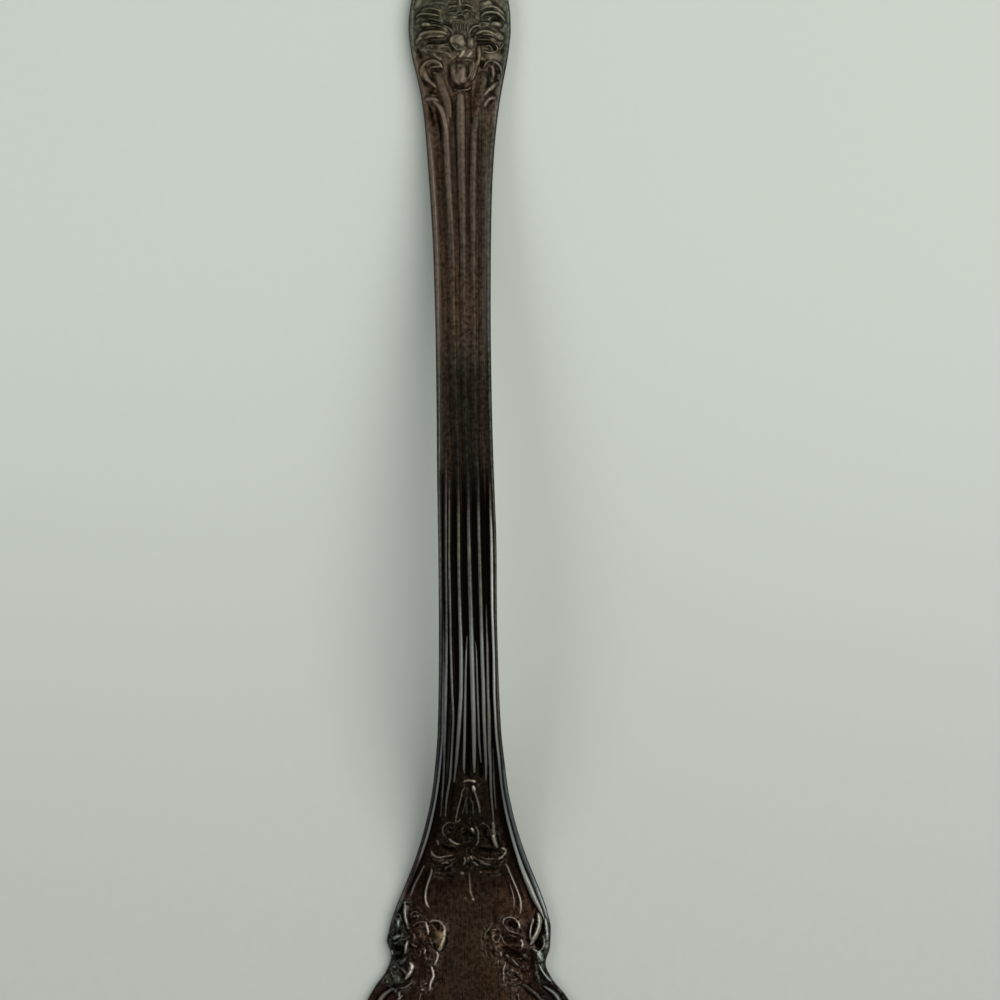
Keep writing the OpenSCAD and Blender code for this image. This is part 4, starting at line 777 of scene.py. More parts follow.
# raised lines along the stem, in picture pixels: (x, y, half width, height in millimetres)
reedRows = {
    "reed_left": [
        [(448.4, 108, 1.8, 0.06), (446.8, 124, 3.6, 0.16), (446.4, 140, 4.4, 0.2), (449, 190, 4.6, 0.18),
         (452, 250, 4.2, 0.12), (453, 310, 4, 0.08), (454.6, 370, 3.6, 0.05), (456.6, 430, 2.8, 0.05),
         (458.2, 480, 2, 0.12), (458.6, 520, 1.8, 0.2), (458.8, 560, 1.8, 0.22), (459.8, 610, 2.1, 0.24),
         (461, 650, 2.5, 0.25), (461, 690, 2.5, 0.25), (459.6, 717, 2.5, 0.25), (458, 740, 2.3, 0.23),
         (456, 765, 1.9, 0.19), (454, 782, 1, 0.07)],
    ],
    "reed_centre": [
        [(460.4, 92, 3.2, 0.12), (460.5, 97, 5, 0.26), (460.8, 112, 6, 0.3), (461, 140, 6, 0.26),
         (462, 190, 5.4, 0.2), (463, 250, 4.6, 0.13), (463.4, 310, 4.2, 0.08), (465.4, 430, 3.2, 0.05),
         (468, 480, 2.2, 0.12), (468.6, 520, 2.1, 0.21), (469.3, 560, 2.4, 0.24), (470.8, 610, 2.7, 0.25),
         (471.8, 650, 2.9, 0.27), (472.8, 690, 2.9, 0.27), (473.6, 717, 2.8, 0.26), (474, 740, 2.5, 0.24),
         (474.2, 760, 2.1, 0.21), (474.4, 772, 1.2, 0.09)],
        [(467, 636, 0.7, 0.05), (466, 660, 1.4, 0.14), (465.2, 700, 1.7, 0.18), (464.6, 740, 1.8, 0.19),
         (464, 765, 1.5, 0.15), (464.5, 773, 0.8, 0.05)],
    ],
    "reed_right": [
        [(478, 108, 2, 0.08), (475.5, 122, 4.2, 0.18), (473.8, 140, 4.6, 0.2), (472.8, 190, 4.6, 0.17),
         (473, 250, 4, 0.12), (473.6, 310, 3.9, 0.08), (475, 430, 2.9, 0.05), (478, 480, 2, 0.12),
         (478.6, 520, 2, 0.2), (479.6, 560, 2, 0.22), (481, 610, 2.2, 0.24), (482, 650, 2.4, 0.25),
         (483.4, 690, 2.5, 0.25), (484, 717, 2.4, 0.25), (485, 740, 2.2, 0.23), (486, 765, 1.7, 0.17),
         (486, 780, 0.9, 0.06)],
        [(475, 640, 0.6, 0.04), (476.4, 655, 1.2, 0.12), (477.4, 690, 1.4, 0.15), (478.4, 717, 1.5, 0.16),
         (479.2, 740, 1.5, 0.16), (481, 762, 1.1, 0.09)],
    ],
    "thread_left": [
        [(446.2, 452, 0.8, 0.04), (446, 480, 1.3, 0.12), (446, 520, 1.5, 0.15), (446, 560, 1.5, 0.16),
         (446.4, 600, 1.6, 0.17), (446.4, 650, 1.8, 0.2), (445.6, 690, 2.2, 0.23), (445, 717, 2.2, 0.23),
         (444.4, 745, 1.8, 0.19), (443.8, 770, 1.4, 0.14), (442.6, 792, 1.2, 0.1), (440.6, 816, 0.8, 0.05)],
        [(449.2, 480, 0.8, 0.05), (449.3, 520, 1.3, 0.13), (449.2, 560, 1.4, 0.16), (450, 600, 1.5, 0.18),
         (451, 650, 1.4, 0.17), (452.2, 690, 1.3, 0.15), (453.4, 717, 1.3, 0.15), (452.6, 740, 1.3, 0.17),
         (450.7, 772, 1.4, 0.17), (449, 785, 1.4, 0.17), (446.6, 800, 1.3, 0.15), (445.4, 816, 0.8, 0.06)],
    ],
    "thread_right": [
        [(486, 604, 0.7, 0.04), (486.6, 630, 1.4, 0.14), (487.2, 650, 1.8, 0.18), (487.8, 690, 2, 0.2),
         (488.8, 717, 2.4, 0.23), (489.2, 745, 2.4, 0.23), (490, 760, 2.2, 0.21), (490.6, 773, 1.8, 0.18),
         (490.8, 785, 1.5, 0.17), (491.6, 798, 1.3, 0.16), (492.8, 812, 1.2, 0.14),
         (494.6, 829, 0.8, 0.06)],
        [(492.8, 748, 0.7, 0.05), (493.6, 768, 1, 0.1), (494.2, 788, 1, 0.1), (495.8, 808, 0.7, 0.05)],
    ],
}
# rims in millimetres, each a bead on the edge and a line inside it: place along, inset of its middle,
# half width, height, brightness
rimRows = {
    "rim_left": [
        [(46, 0.3, 0.12, 0.03, 0.2), (41, 0.3, 0.24, 0.06, 0.16), (33, 0.3, 0.28, 0.07, 0.22),
         (28, 0.36, 0.34, 0.1, 0.2), (20, 0.38, 0.36, 0.12, 0.22), (13, 0.36, 0.36, 0.11, 0.24),
         (5, 0.28, 0.28, 0.1, 0.22), (-4, 0.24, 0.24, 0.1, 0.18), (-12, 0.2, 0.2, 0.1, 0.3),
         (-24, 0.2, 0.22, 0.1, 0.26), (-34, 0.2, 0.22, 0.1, 0.2), (-44, 0.2, 0.22, 0.1, 0.1),
         (-49, 0.2, 0.24, 0.1, 0.1), (-50.5, 0.2, 0.1, 0.02, 0.05)],
        [(-19, 0.42, 0.05, 0.04, 0.1), (-23, 0.47, 0.12, 0.16, 0.2), (-29, 0.45, 0.15, 0.2, 0.5),
         (-33, 0.48, 0.14, 0.19, 0.55), (-37.7, 0.45, 0.14, 0.19, 0.72), (-41.5, 0.46, 0.16, 0.21, 0.72),
         (-43.5, 0.42, 0.16, 0.21, 0.6), (-45.4, 0.42, 0.13, 0.16, 0.05), (-47, 0.4, 0.06, 0.04, 0)],
    ],
    "rim_right": [
        [(46, 0.3, 0.12, 0.03, 0.1), (41, 0.3, 0.24, 0.06, 0.1), (33, 0.3, 0.28, 0.07, 0.04),
         (28, 0.32, 0.3, 0.1, 0.06), (20, 0.34, 0.34, 0.12, 0.16), (13, 0.3, 0.3, 0.11, 0.2),
         (5, 0.26, 0.26, 0.1, 0.14), (-4, 0.22, 0.24, 0.1, 0.08), (-12, 0.14, 0.16, 0.1, 0.16),
         (-24, 0.14, 0.16, 0.1, 0.2), (-34, 0.2, 0.22, 0.1, 0.2), (-42, 0.22, 0.26, 0.1, 0.18),
         (-49, 0.2, 0.24, 0.1, 0.16), (-50.5, 0.2, 0.1, 0.02, 0.1)],
        [(-7, 0.4, 0.05, 0.04, 0), (-9.5, 0.44, 0.13, 0.16, 0.2), (-12, 0.46, 0.17, 0.19, 0.5),
         (-19, 0.44, 0.18, 0.2, 0.76), (-24, 0.4, 0.18, 0.2, 0.82), (-29, 0.48, 0.18, 0.2, 0.82),
         (-33, 0.49, 0.17, 0.19, 0.72), (-37, 0.55, 0.15, 0.19, 0.56), (-39.6, 0.6, 0.17, 0.22, 0.7),
         (-41.5, 0.64, 0.19, 0.24, 0.8), (-43.5, 0.72, 0.2, 0.25, 0.9), (-45.4, 0.8, 0.26, 0.27, 0.9),
         (-47.4, 0.82, 0.34, 0.26, 0.5), (-49.3, 0.6, 0.2, 0.22, 0.45), (-50.5, 0.45, 0.06, 0.05, 0.2)],
    ],
}

rodLines = {}
for part, runs in reedRows.items():
    rodLines[part] = []
    for rows in runs:
        dense = flowingLine(rows, 14)
        rodLines[part].append(np.column_stack([fromPicture(dense[:, :2]), dense[:, 2] * pixel, dense[:, 3]]))
for part, side in (("rim_left", -1), ("rim_right", 1)):
    rodLines[part] = []
    for rows in rimRows[part]:
        rows = np.array(rows[::-1])
        y = np.linspace(rows[-1, 0], rows[0, 0], 20 + int(3 * (rows[-1, 0] - rows[0, 0])))
        inset, width, tall, bright = (smoothLine(rows[:, 0], rows[:, k])(y) for k in (1, 2, 3, 4))
        rodLines[part].append(np.column_stack([side * (edgeAt(y, side) - inset), y, width, tall, bright]))

# how bright the reeds are rubbed along the fork, with painted highlight: place in millimetres, brightness
# (below 0 is painted shade)
reedRubAndPaintedLight = {
    "reed": smoothLine(
        [-42, -35, -29, -24, -19, -11.5, -8, -4.5, 0, 5, 10, 15, 20, 24.5, 27.5, 30.5],
        [0.4, 0.49, 0.53, 0.53, 0.34, 0.2, -0.2, -0.5, -0.4, -0.25, -0.05, 0.14, 0.16, 0.2, 0.24, 0.34]),
    "thread": smoothLine([-42, -35, -29, -24, -19, -11, -8, -5],
                         [0.32, 0.42, 0.45, 0.4, 0.28, 0.18, 0.0, -0.4]),
}
rodPaint = {"thinnest": 0.05, "thinnestGlow": 0.1, "glowReach": 1.1, "shadeReach": 1.2}
rods = newLayer()
for part, runs in rodLines.items():
    for run in runs:
        bright = run[:, 4] if run.shape[1] > 4 else reedRubAndPaintedLight[part.split("_")[0]](run[:, 1])
        glow = np.maximum(run[:, 2], rodPaint["thinnestGlow"])
        paint(rods, run[:, :2], np.maximum(run[:, 2], rodPaint["thinnest"]), run[:, 3], "round")
        paint(rubAndPaintedLight, run[:, :2], glow * rodPaint["glowReach"], np.maximum(bright, 0), "flat")
        # where the brightness is below 0 the rod is painted dark: painted shade
        paint(shadeAndTarnish, run[:, :2], glow * rodPaint["shadeReach"], np.maximum(-bright, 0), "flat")

# small folds between the strokes: a creased noise that only shows where the metal is worked
folds = {"seed": 11, "size": 0.075, "height": 0.05, "bright": 0.34, "sharpness": 1.4, "deepest": -0.4,
         "spread": 0.1, "fullness": 1.2}
noise = softened(np.random.default_rng(folds["seed"]).normal(size=body.shape), folds["size"])
creases = np.clip(1 - np.abs(noise) / noise.std() / folds["sharpness"], folds["deepest"], 1)
creases *= np.clip(softened(worked, folds["spread"]) * folds["fullness"], 0, 1)
body += folds["height"] * creases
# the folds' ridges get a painted highlight
rubAndPaintedLight = np.maximum(rubAndPaintedLight, folds["bright"] * np.clip(creases, 0, 1))

# the struck top: raised work stands out of a ground that dips beside it; blurs in millimetres
mixing = {"strokeBlur": 0.03, "bodyBlur": 0.05, "hollowFill": 0.08, "broadBlur": 0.3, "broadRise": 0.1,
          "broadShare": 0.6, "fineBlur": 0.1, "fineRise": 0.04, "fineShare": 0.4, "shineBlur": 0.04,
          "shineGuard": 1.6, "mostGuard": 0.85, "tintBlur": 0.15, "neckBlur": 0.1, "neckLight": 0.5}
bump = softened(raised, mixing["strokeBlur"])
struck = (softened(body, mixing["bodyBlur"]) + bump - softened(sunk, mixing["strokeBlur"])
          - softened(moat, mixing["bodyBlur"]) * (1 - np.clip(bump / mixing["hollowFill"], 0, 1)))
surface = np.maximum(struck, rods)
wear = 0
for size in ("broad", "fine"):
    proud = (surface - softened(surface, mixing[size + "Blur"])) / mixing[size + "Rise"]
    wear += mixing[size + "Share"] * np.clip(proud, -1, 1)
wear *= smoothLine([-73, -11, -6, 28, 32, 48], [1, 1, 0.4, 0.4, 0.3, 0.3])(gridAlong)[:, None]
guard = np.clip(rubAndPaintedLight * mixing["shineGuard"], 0, mixing["mostGuard"])  # bright strokes keep the painted shade off
dark = softened(shadeAndTarnish, mixing["shineBlur"]) * (1 - guard)
rubAndPaintedLight = softened(rubAndPaintedLight, mixing["shineBlur"]) - dark
tint = softened(cool - warm, mixing["tintBlur"])
onNeck = smoothLine([26.5, 29.5], [0, 0.5])(gridAlong)[:, None]
rubAndPaintedLight += (softened(rubAndPaintedLight, mixing["neckBlur"]) - rubAndPaintedLight) * onNeck
rubAndPaintedLight = np.where(rubAndPaintedLight < 0, rubAndPaintedLight * (1 - mixing["neckLight"] * onNeck), rubAndPaintedLight)
print("relief layers mixed")


def addAttributes(mesh, rub, bright, tone):
    for label, values in (("rub", rub), ("bright", bright), ("tone", tone)):
        attribute = mesh.attributes.new(label, "FLOAT", "POINT")
        attribute.data.foreach_set("value", np.ascontiguousarray(values, np.float32).ravel())


def closedMesh(name, points, normals):
    # rows of points around a plate, joined by quads, with a cap at each end
    rows, count = points.shape[:2]
    i, j = np.meshgrid(np.arange(rows - 1), np.arange(count), indexing="ij")
    a = i * count + j
    b = i * count + (j + 1) % count
    quads = np.stack([a, b, b + count, a + count], 2).reshape(-1, 4)
    caps = np.concatenate([np.arange(count)[::-1], (rows - 1) * count + np.arange(count)])
    mesh = bpy.data.meshes.new(name)
    mesh.vertices.add(rows * count)
    mesh.vertices.foreach_set("co", points.reshape(-1))
    mesh.loops.add(quads.size + caps.size)
    mesh.loops.foreach_set("vertex_index", np.concatenate([quads.reshape(-1), caps]))
    mesh.polygons.add(len(quads) + 2)
    starts = np.concatenate([np.arange(len(quads)) * 4, [quads.size, quads.size + count]])
    mesh.polygons.foreach_set("loop_start", starts)
    mesh.polygons.foreach_set("use_smooth", np.ones(len(quads) + 2, bool))
    mesh.update(calc_edges=True)
    mesh.validate()
    ends = np.zeros((caps.size, 3))
    ends[:count, 1], ends[count:, 1] = -1, 1
    mesh.normals_split_custom_set(np.concatenate([normals.reshape(-1, 3)[quads.reshape(-1)], ends]))
    return mesh


plateLook = {"spread": 0.7, "reliefFade": 0.12, "core": 0.45, "rootBlend": 5, "underRub": 0.05,
             "offMiddle": 0.7, "tineRub": 0.3, "tineRubFrom": 50, "tineRubOver": 23}


def plateMesh(name, places, across, under, edges, tip=None, relieved=True, blunt=0.9, root=None):
    # a closed plate: top from left to right and underside back again, row after row
    k = np.linspace(-1, 1, across)
    u = plateLook["spread"] * k + (1 - plateLook["spread"]) * np.sin(k * math.pi / 2)
    v = np.linspace(1, -1, under + 2)[1:-1]
    ghosts = np.concatenate([[2 * places[0] - places[1]], places, [2 * places[-1] - places[-2]]])
    y = ghosts[:, None]
    left, right = edges(y)
    # a side tine has its own middle
    middle = np.where(np.abs(left + right) > plateLook["offMiddle"], (left + right) / 2, 0)
    share = np.concatenate([u, v])[None, :]
    half = np.where(share > 0, right - middle, middle - left)
    x = middle + share * half
    t = thickness(y)
    low = underside(y) + dishing(y) * x ** 2
    isTop = (np.arange(across + under) < across)[None, :]
    crown = np.abs(share)
    if root is not None:  # a tine keeps the palm's crown at its root
        own = np.clip((y - root) / plateLook["rootBlend"], 0, 1)
        crown = crown * own + np.clip(np.abs(x) / edgeAt(root, 1), 0, 1) * (1 - own)
    inward = half * (1 - np.abs(share))
    top = low + t * (1 - blankShape["crownFall"] * crown ** 3)
    top -= roundedOff(inward, blankShape["sideBand"] * t)
    belly = low + t * blankShape["underRise"] * (np.clip(crown - 0.5, 0, 1) / 0.5) ** 2
    if relieved:
        fade = np.clip(inward / plateLook["reliefFade"], 0, 1)
        top = top + sampled(struck, x + 0 * y, y + 0 * x) * fade
    z = np.where(isTop, top, belly)
    if tip is not None:
        closing = np.clip(1 - np.abs(tip - y) / blunt, 0, 0.995)
        core = low + plateLook["core"] * t
        z = core + (z - core) * np.sqrt(1 - closing ** 2)
    z = np.maximum(z, 0)
    points = np.stack([x + bentMiddle(y), y + 0 * x, z], 2) * mm
    around = np.roll(points, -1, 1) - np.roll(points, 1, 1)
    along = points[2:] - points[:-2]
    normals = np.cross(around[1:-1], along)
    normals /= np.maximum(np.linalg.norm(normals, axis=2, keepdims=True), 1e-12)
    points = points[1:-1]
    mesh = closedMesh(name, points, normals)
    upper = np.broadcast_to(isTop, points.shape[:2]) & relieved
    px, py = x[1:-1] + 0 * y[1:-1], y[1:-1] + 0 * x[1:-1]
    # the tines are rubbed towards their tips
    plain = plateLook["tineRub"] * np.clip((py - plateLook["tineRubFrom"]) / plateLook["tineRubOver"], 0, 1)
    addAttributes(mesh, np.where(upper, sampled(wear, px, py), plateLook["underRub"]),
                  np.where(upper, sampled(rubAndPaintedLight, px, py), plain), sampled(tint, px, py))
    return mesh


# finishes

def newGroup(name, inputs, outputs):
    group = bpy.data.node_groups.new(name, "ShaderNodeTree")
    for label, value in inputs.items():
        socket = group.interface.new_socket(label, in_out="INPUT", socket_type="NodeSocketFloat")
        socket.default_value = value
    for label in outputs:
        group.interface.new_socket(label, in_out="OUTPUT", socket_type="NodeSocketFloat")
    return group, group.nodes.new("NodeGroupInput").outputs, group.nodes.new("NodeGroupOutput")


def connect(tree, node, links):
    # links sockets to sockets, and writes plain values into them
    for socket, source in dict(links).items():
        if isinstance(source, bpy.types.NodeSocket):
            tree.links.new(source, node.inputs[socket])
        else:
            node.inputs[socket].default_value = source


def addNode(tree, kind, links=(), **settings):
    node = tree.nodes.new(kind)
    for key, value in settings.items():
        setattr(node, key, value)
    connect(tree, node, links)
    return node


def addMath(tree, operation, a, b=0.0, c=None, clamp=False):
    links = {0: a, 1: b} if c is None else {0: a, 1: b, 2: c}
    return addNode(tree, "ShaderNodeMath", links, operation=operation, use_clamp=clamp).outputs[0]


def addRange(tree, value, low, high, toLow=0.0, toHigh=1.0, kind="SMOOTHSTEP"):
    return addNode(tree, "ShaderNodeMapRange", {0: value, 1: low, 2: high, 3: toLow, 4: toHigh},
                   interpolation_type=kind).outputs[0]


def addMix(tree, factor, a, b, blend="MIX"):
    # each colour is a socket or three plain values
    a, b = (side if isinstance(side, bpy.types.NodeSocket) else (*side, 1) for side in (a, b))
    return addNode(tree, "ShaderNodeMix", {0: factor, 6: a, 7: b}, data_type="RGBA",
                   blend_type=blend).outputs[2]


def tinted(tree, amount, colour, factors):
    return addMix(tree, amount, colour, addMix(tree, 1.0, colour, factors, "MULTIPLY"))


def addNoise(tree, vector, scale, detail):
    links = {"Vector": vector, "Scale": scale, "Detail": detail}
    return addNode(tree, "ShaderNodeTexNoise", links).outputs[0]


def ownPlace(tree):
    return addNode(tree, "ShaderNodeTexCoord").outputs["Object"]


def stretched(tree, vector, scale):
    return addNode(tree, "ShaderNodeMapping", {"Vector": vector, "Scale": scale}).outputs[0]


def makeRubbedLitAndShaded():
    # turns painted wear and brightness into how rubbed and lit a spot is and how dark it is, from tarnish in
    # its hollows and painted shade, broken up a little
    group, given, made = newGroup("rubbedEdges", {
        "Wear": 0.0, "Bright": 0.0, "Breakup": 0.25, "Scale": 1500.0, "Contrast": 1.5, "Edge Rub": 0.07},
        ["Rubbed", "Sooty"])
    noise = addNoise(group, ownPlace(group), given["Scale"], 3.0)
    shift = addMath(group, "MULTIPLY", addMath(group, "SUBTRACT", noise, 0.5), given["Breakup"])
    worn = addMath(group, "ADD", given["Wear"], shift)
    strength = addMath(group, "POWER", addMath(group, "MAXIMUM", given["Bright"], 0.0), given["Contrast"])
    lifted = addMath(group, "MULTIPLY", strength, addRange(group, worn, -0.3, 0.5, 0.25, 1.0))
    edge = addMath(group, "MULTIPLY", addRange(group, worn, 0.1, 0.9), given["Edge Rub"])
    painted = addRange(group, addMath(group, "SUBTRACT", shift, given["Bright"]), 0.0, 0.8)
    hollow = addRange(group, worn, -0.05, -0.7)
    connect(group, made, {"Rubbed": addMath(group, "ADD", lifted, edge, clamp=True),
                          "Sooty": addMath(group, "MAXIMUM", hollow, painted, clamp=True)})
    return group


def makeTarnishFilm():
    # broad patches of thicker and thinner tarnish, finer ones for its tint, and specks
    group, given, made = newGroup("tarnishFilm", {"Patch Scale": 160.0, "Tint Scale": 420.0,
                                                  "Speck Scale": 2600.0}, ["Patch", "Tint", "Speck"])
    where = ownPlace(group)
    long = stretched(group, where, (1.0, 0.4, 1.0))
    patch = addNoise(group, long, given["Patch Scale"], 4.0)
    tint = addNoise(group, long, given["Tint Scale"], 2.0)
    speck = addNoise(group, where, given["Speck Scale"], 4.0)
    connect(group, made, {"Patch": addRange(group, patch, 0.3, 0.7),
                          "Tint": addRange(group, tint, 0.42, 0.68),
                          "Speck": addRange(group, speck, 0.32, 0.68)})
    return group


def makeBrushedLines():
    # fine lengthwise lines left by polishing, and the grain of the tarnish
    group, given, made = newGroup("brushedLines", {"Fineness": 9000.0, "Grain": 14000.0}, ["Lines", "Grain"])
    where = ownPlace(group)
    lines = addNoise(group, stretched(group, where, (1.0, 0.05, 0.3)), given["Fineness"], 3.0)
    grain = addNoise(group, where, given["Grain"], 2.0)
    connect(group, made, {"Lines": addRange(group, lines, 0.3, 0.7),
                          "Grain": addRange(group, grain, 0.3, 0.7)})
    return group


def makeRegions():
    # how far a spot belongs to the neck, stem, sides and head, by where it lies, in metres
    group, given, made = newGroup("regions", {
        "Stem Start": -0.03, "Stem Full": 0.018, "Neck Start": 0.029, "Neck Full": 0.037, "Head Start": 0.038,
        "Head Full": 0.046, "Side Start": 0.0012, "Side Full": 0.0042}, ["Neck", "Stem", "Side", "Head"])
    place = addNode(group, "ShaderNodeSeparateXYZ", {0: ownPlace(group)}).outputs
    along, across = place[1], addMath(group, "ABSOLUTE", place[0])
    for label, value, kind in (("Neck", along, "LINEAR"), ("Stem", along, "LINEAR"),
                               ("Side", across, "SMOOTHSTEP"), ("Head", along, "SMOOTHSTEP")):
        share = addRange(group, value, given[label + " Start"], given[label + " Full"], kind=kind)
        connect(group, made, {label: share})
    return group


groups = {"edges": makeRubbedLitAndShaded(), "film": makeTarnishFilm(), "lines": makeBrushedLines(),
          "regions": makeRegions()}

finishes = {
    "struck_ground": {"tarnishAndShadeBlack": (0.004, 0.0022, 0.0016), "brown": (0.0122, 0.0068, 0.0046),
                      "thin": (0.0225, 0.0152, 0.01), "golden": (0.0275, 0.0168, 0.0085),
                      "stem": (0.043, 0.0252, 0.0162), "neck": (0.046, 0.042, 0.0285),
                      "rubbed": (0.42, 0.365, 0.31)},
    "raised_work": {"tarnishAndShadeBlack": (0.005, 0.003, 0.0025), "brown": (0.03, 0.021, 0.016),
                    "thin": (0.045, 0.034, 0.028), "golden": (0.048, 0.034, 0.018),
                    "stem": (0.036, 0.025, 0.018), "neck": (0.066, 0.055, 0.038),
                    "rubbed": (0.385, 0.372, 0.345)},
}
finishes["head_metal"] = finishes["struck_ground"]
# what all finishes have in common: colours, tints, and how much of each effect there is
tarnish = {
    "redder": (0.43, 0.33, 0.262), "redderFrom": 0.45, "olive": (0.41, 0.37, 0.272),
    "dullHead": (0.058, 0.048, 0.036), "paleHead": (0.078, 0.067, 0.053), "sideTint": (0.94, 0.78, 0.8),
    "coolGround": (0.72, 1.0, 1.05), "coolOver": (0.8, 1.01, 1.12), "warmOver": (1.15, 1.0, 0.62),
    "thin": 0.55, "golden": 0.1, "goldenOffNeck": 0.3, "streak": 0.46, "speck": 0.9, "speckOnHead": -0.5,
    "rough": 0.3, "roughLines": 0.1, "roughTarnishAndShade": 0.2, "roughStem": 0.07, "roughPatch": 0.06,
    "grain": 0.6, "dents": 0.35, "dentDepth": 0.00002,
}


def tarnishedMetal(name, colours):
    material = bpy.data.materials.new(name)
    material.use_nodes = True
    tree = material.node_tree
    rub, bright, tone = (addNode(tree, "ShaderNodeAttribute", attribute_name=label).outputs["Fac"]
                         for label in ("rub", "bright", "tone"))
    edges, film, lines, regions = (addNode(tree, "ShaderNodeGroup", node_tree=groups[label])
                                   for label in ("edges", "film", "lines", "regions"))
    connect(tree, edges, {"Wear": rub, "Bright": bright})
    rubbedAndLitShare, tarnishAndShadeBlack = edges.outputs["Rubbed"], edges.outputs["Sooty"]
    patch, brushed = film.outputs["Patch"], lines.outputs["Lines"]
    neck, stem, side, head = (regions.outputs[label] for label in ("Neck", "Stem", "Side", "Head"))
    cool = addMath(tree, "MAXIMUM", tone, 0.0)
    warm = addMath(tree, "MAXIMUM", addMath(tree, "MULTIPLY", tone, -1.0), 0.0)
    offNeck = addMath(tree, "SUBTRACT", 1.0, neck)
    lined = addMath(tree, "ADD", offNeck, head)
    evenLines = addMath(tree, "SUBTRACT", brushed, 0.5)
    evenSpecks = addMath(tree, "SUBTRACT", film.outputs["Speck"], 0.5)

    # the ground's colour by region, with thin and golden patches, streaks and specks
    ground = addMix(tree, stem, colours["brown"], colours["stem"])
    ground = addMix(tree, neck, ground, colours["neck"])
    ground = addMix(tree, addMath(tree, "MULTIPLY", patch, tarnish["thin"]), ground, colours["thin"])
    reddish = addMath(tree, "MULTIPLY", side, addMath(tree, "SUBTRACT", 1.0, stem))
    ground = tinted(tree, reddish, ground, tarnish["sideTint"])
    golden = addMath(tree, "MULTIPLY_ADD", offNeck, tarnish["goldenOffNeck"], tarnish["golden"])
    ground = addMix(tree, addMath(tree, "MULTIPLY", film.outputs["Tint"], golden), ground, colours["golden"])
    ground = addMix(tree, head, ground, addMix(tree, patch, tarnish["dullHead"], tarnish["paleHead"]))
    speck = addMath(tree, "MULTIPLY_ADD", head, tarnish["speckOnHead"], tarnish["speck"])
    speck = addMath(tree, "MULTIPLY_ADD", evenSpecks, speck, 1.0)
    streak = addMath(tree, "MULTIPLY", evenLines, tarnish["streak"])
    ground = addMix(tree, 1.0, ground, addMath(tree, "MULTIPLY_ADD", streak, lined, speck), "MULTIPLY")
    ground = tinted(tree, cool, ground, tarnish["coolGround"])

    # rubbed metal with its painted highlight, then tarnish and painted shade over it, then the cool and warm
    # patches
    redness = addRange(tree, stem, tarnish["redderFrom"], 1.0)
    rubbed = addMix(tree, redness, colours["rubbed"], tarnish["redder"])
    rubbed = addMix(tree, neck, rubbed, tarnish["olive"])
    colour = addMix(tree, rubbedAndLitShare, ground, rubbed)
    colour = addMix(tree, tarnishAndShadeBlack, colour, colours["tarnishAndShadeBlack"])
    colour = tinted(tree, cool, colour, tarnish["coolOver"])
    colour = tinted(tree, warm, colour, tarnish["warmOver"])

    rough = tarnish["rough"]
    for share, amount in ((brushed, "roughLines"), (tarnishAndShadeBlack, "roughTarnishAndShade"), (stem, "roughStem"),
                          (patch, "roughPatch")):
        rough = addMath(tree, "MULTIPLY_ADD", share, tarnish[amount], rough, clamp=amount == "roughPatch")
    height = addMath(tree, "MULTIPLY_ADD", evenLines, lined,
                     addMath(tree, "MULTIPLY", lines.outputs["Grain"], tarnish["grain"]))
    dents = addNode(tree, "ShaderNodeBump", {"Strength": tarnish["dents"], "Distance": tarnish["dentDepth"],
                                             "Height": height}).outputs[0]
    connect(tree, tree.nodes["Principled BSDF"], {"Base Color": colour, "Roughness": rough, "Normal": dents,
                                                  "Metallic": 1.0})
    return material


materials = {slot: tarnishedMetal(slot.replace("_", "") + "Tarnish", colours)
             for slot, colours in finishes.items()}
print("finishes made")


def addObject(name, data):
    made = bpy.data.objects.new(name, data)
    bpy.context.scene.collection.objects.link(made)
    return made


def keepPiece(mesh, name, slot, *replaced):
    piece = addObject(name, mesh)
    if not mesh.materials:
        mesh.materials.append(materials[slot])
    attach(piece, "root")
    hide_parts(*replaced)
    return piece


# plates: rows along, points across the top, points under

plates = {
    "handleEnd": {"from": -73.0, "to": -53.9, "rows": 250, "across": 250, "under": 26, "tip": -73.0,
                  "slot": "struck_ground", "replaces": ("handle_end", "cartouche_frame")},
    "shoulder": {"from": -53.9, "to": -32.0, "rows": 330, "across": 250, "under": 26, "slot": "struck_ground",
                 "replaces": ("shoulder", "shoulder_leaf_left", "shoulder_leaf_right", "flower_spray_left",
                              "flower_spray_right", "field_edge_left", "field_edge_right", "bellflower_drop",
                              "garland", "anthemion", "pendant")},
    "stem": {"from": -32.0, "to": 27.0, "rows": 260, "across": 150, "under": 22, "slot": "struck_ground",
             "replaces": ("stem",)},
    "neck": {"from": 27.0, "to": 40.6, "rows": 250, "across": 200, "under": 22, "slot": "struck_ground",
             "replaces": ("neck", "neck_scroll_left", "neck_scroll_right", "collar", "bud", "palmette_left",
                          "palmette_right")},
    "palm": {"from": 40.6, "to": 49.5, "rows": 70, "across": 120, "under": 22, "slot": "head_metal",
             "replaces": ("palm", "head_ridge")},
}


def blankEdges(y):
    return -edgeAt(y, -1), edgeAt(y, 1)


for name, size in plates.items():
    mesh = plateMesh(name + "Mesh", np.linspace(size["from"], size["to"], size["rows"]), size["across"],
                     size["under"], blankEdges, tip=size.get("tip"))
    size["piece"] = keepPiece(mesh, name, size["slot"], *size["replaces"])
    print(name, "plate:", len(mesh.polygons), "faces")

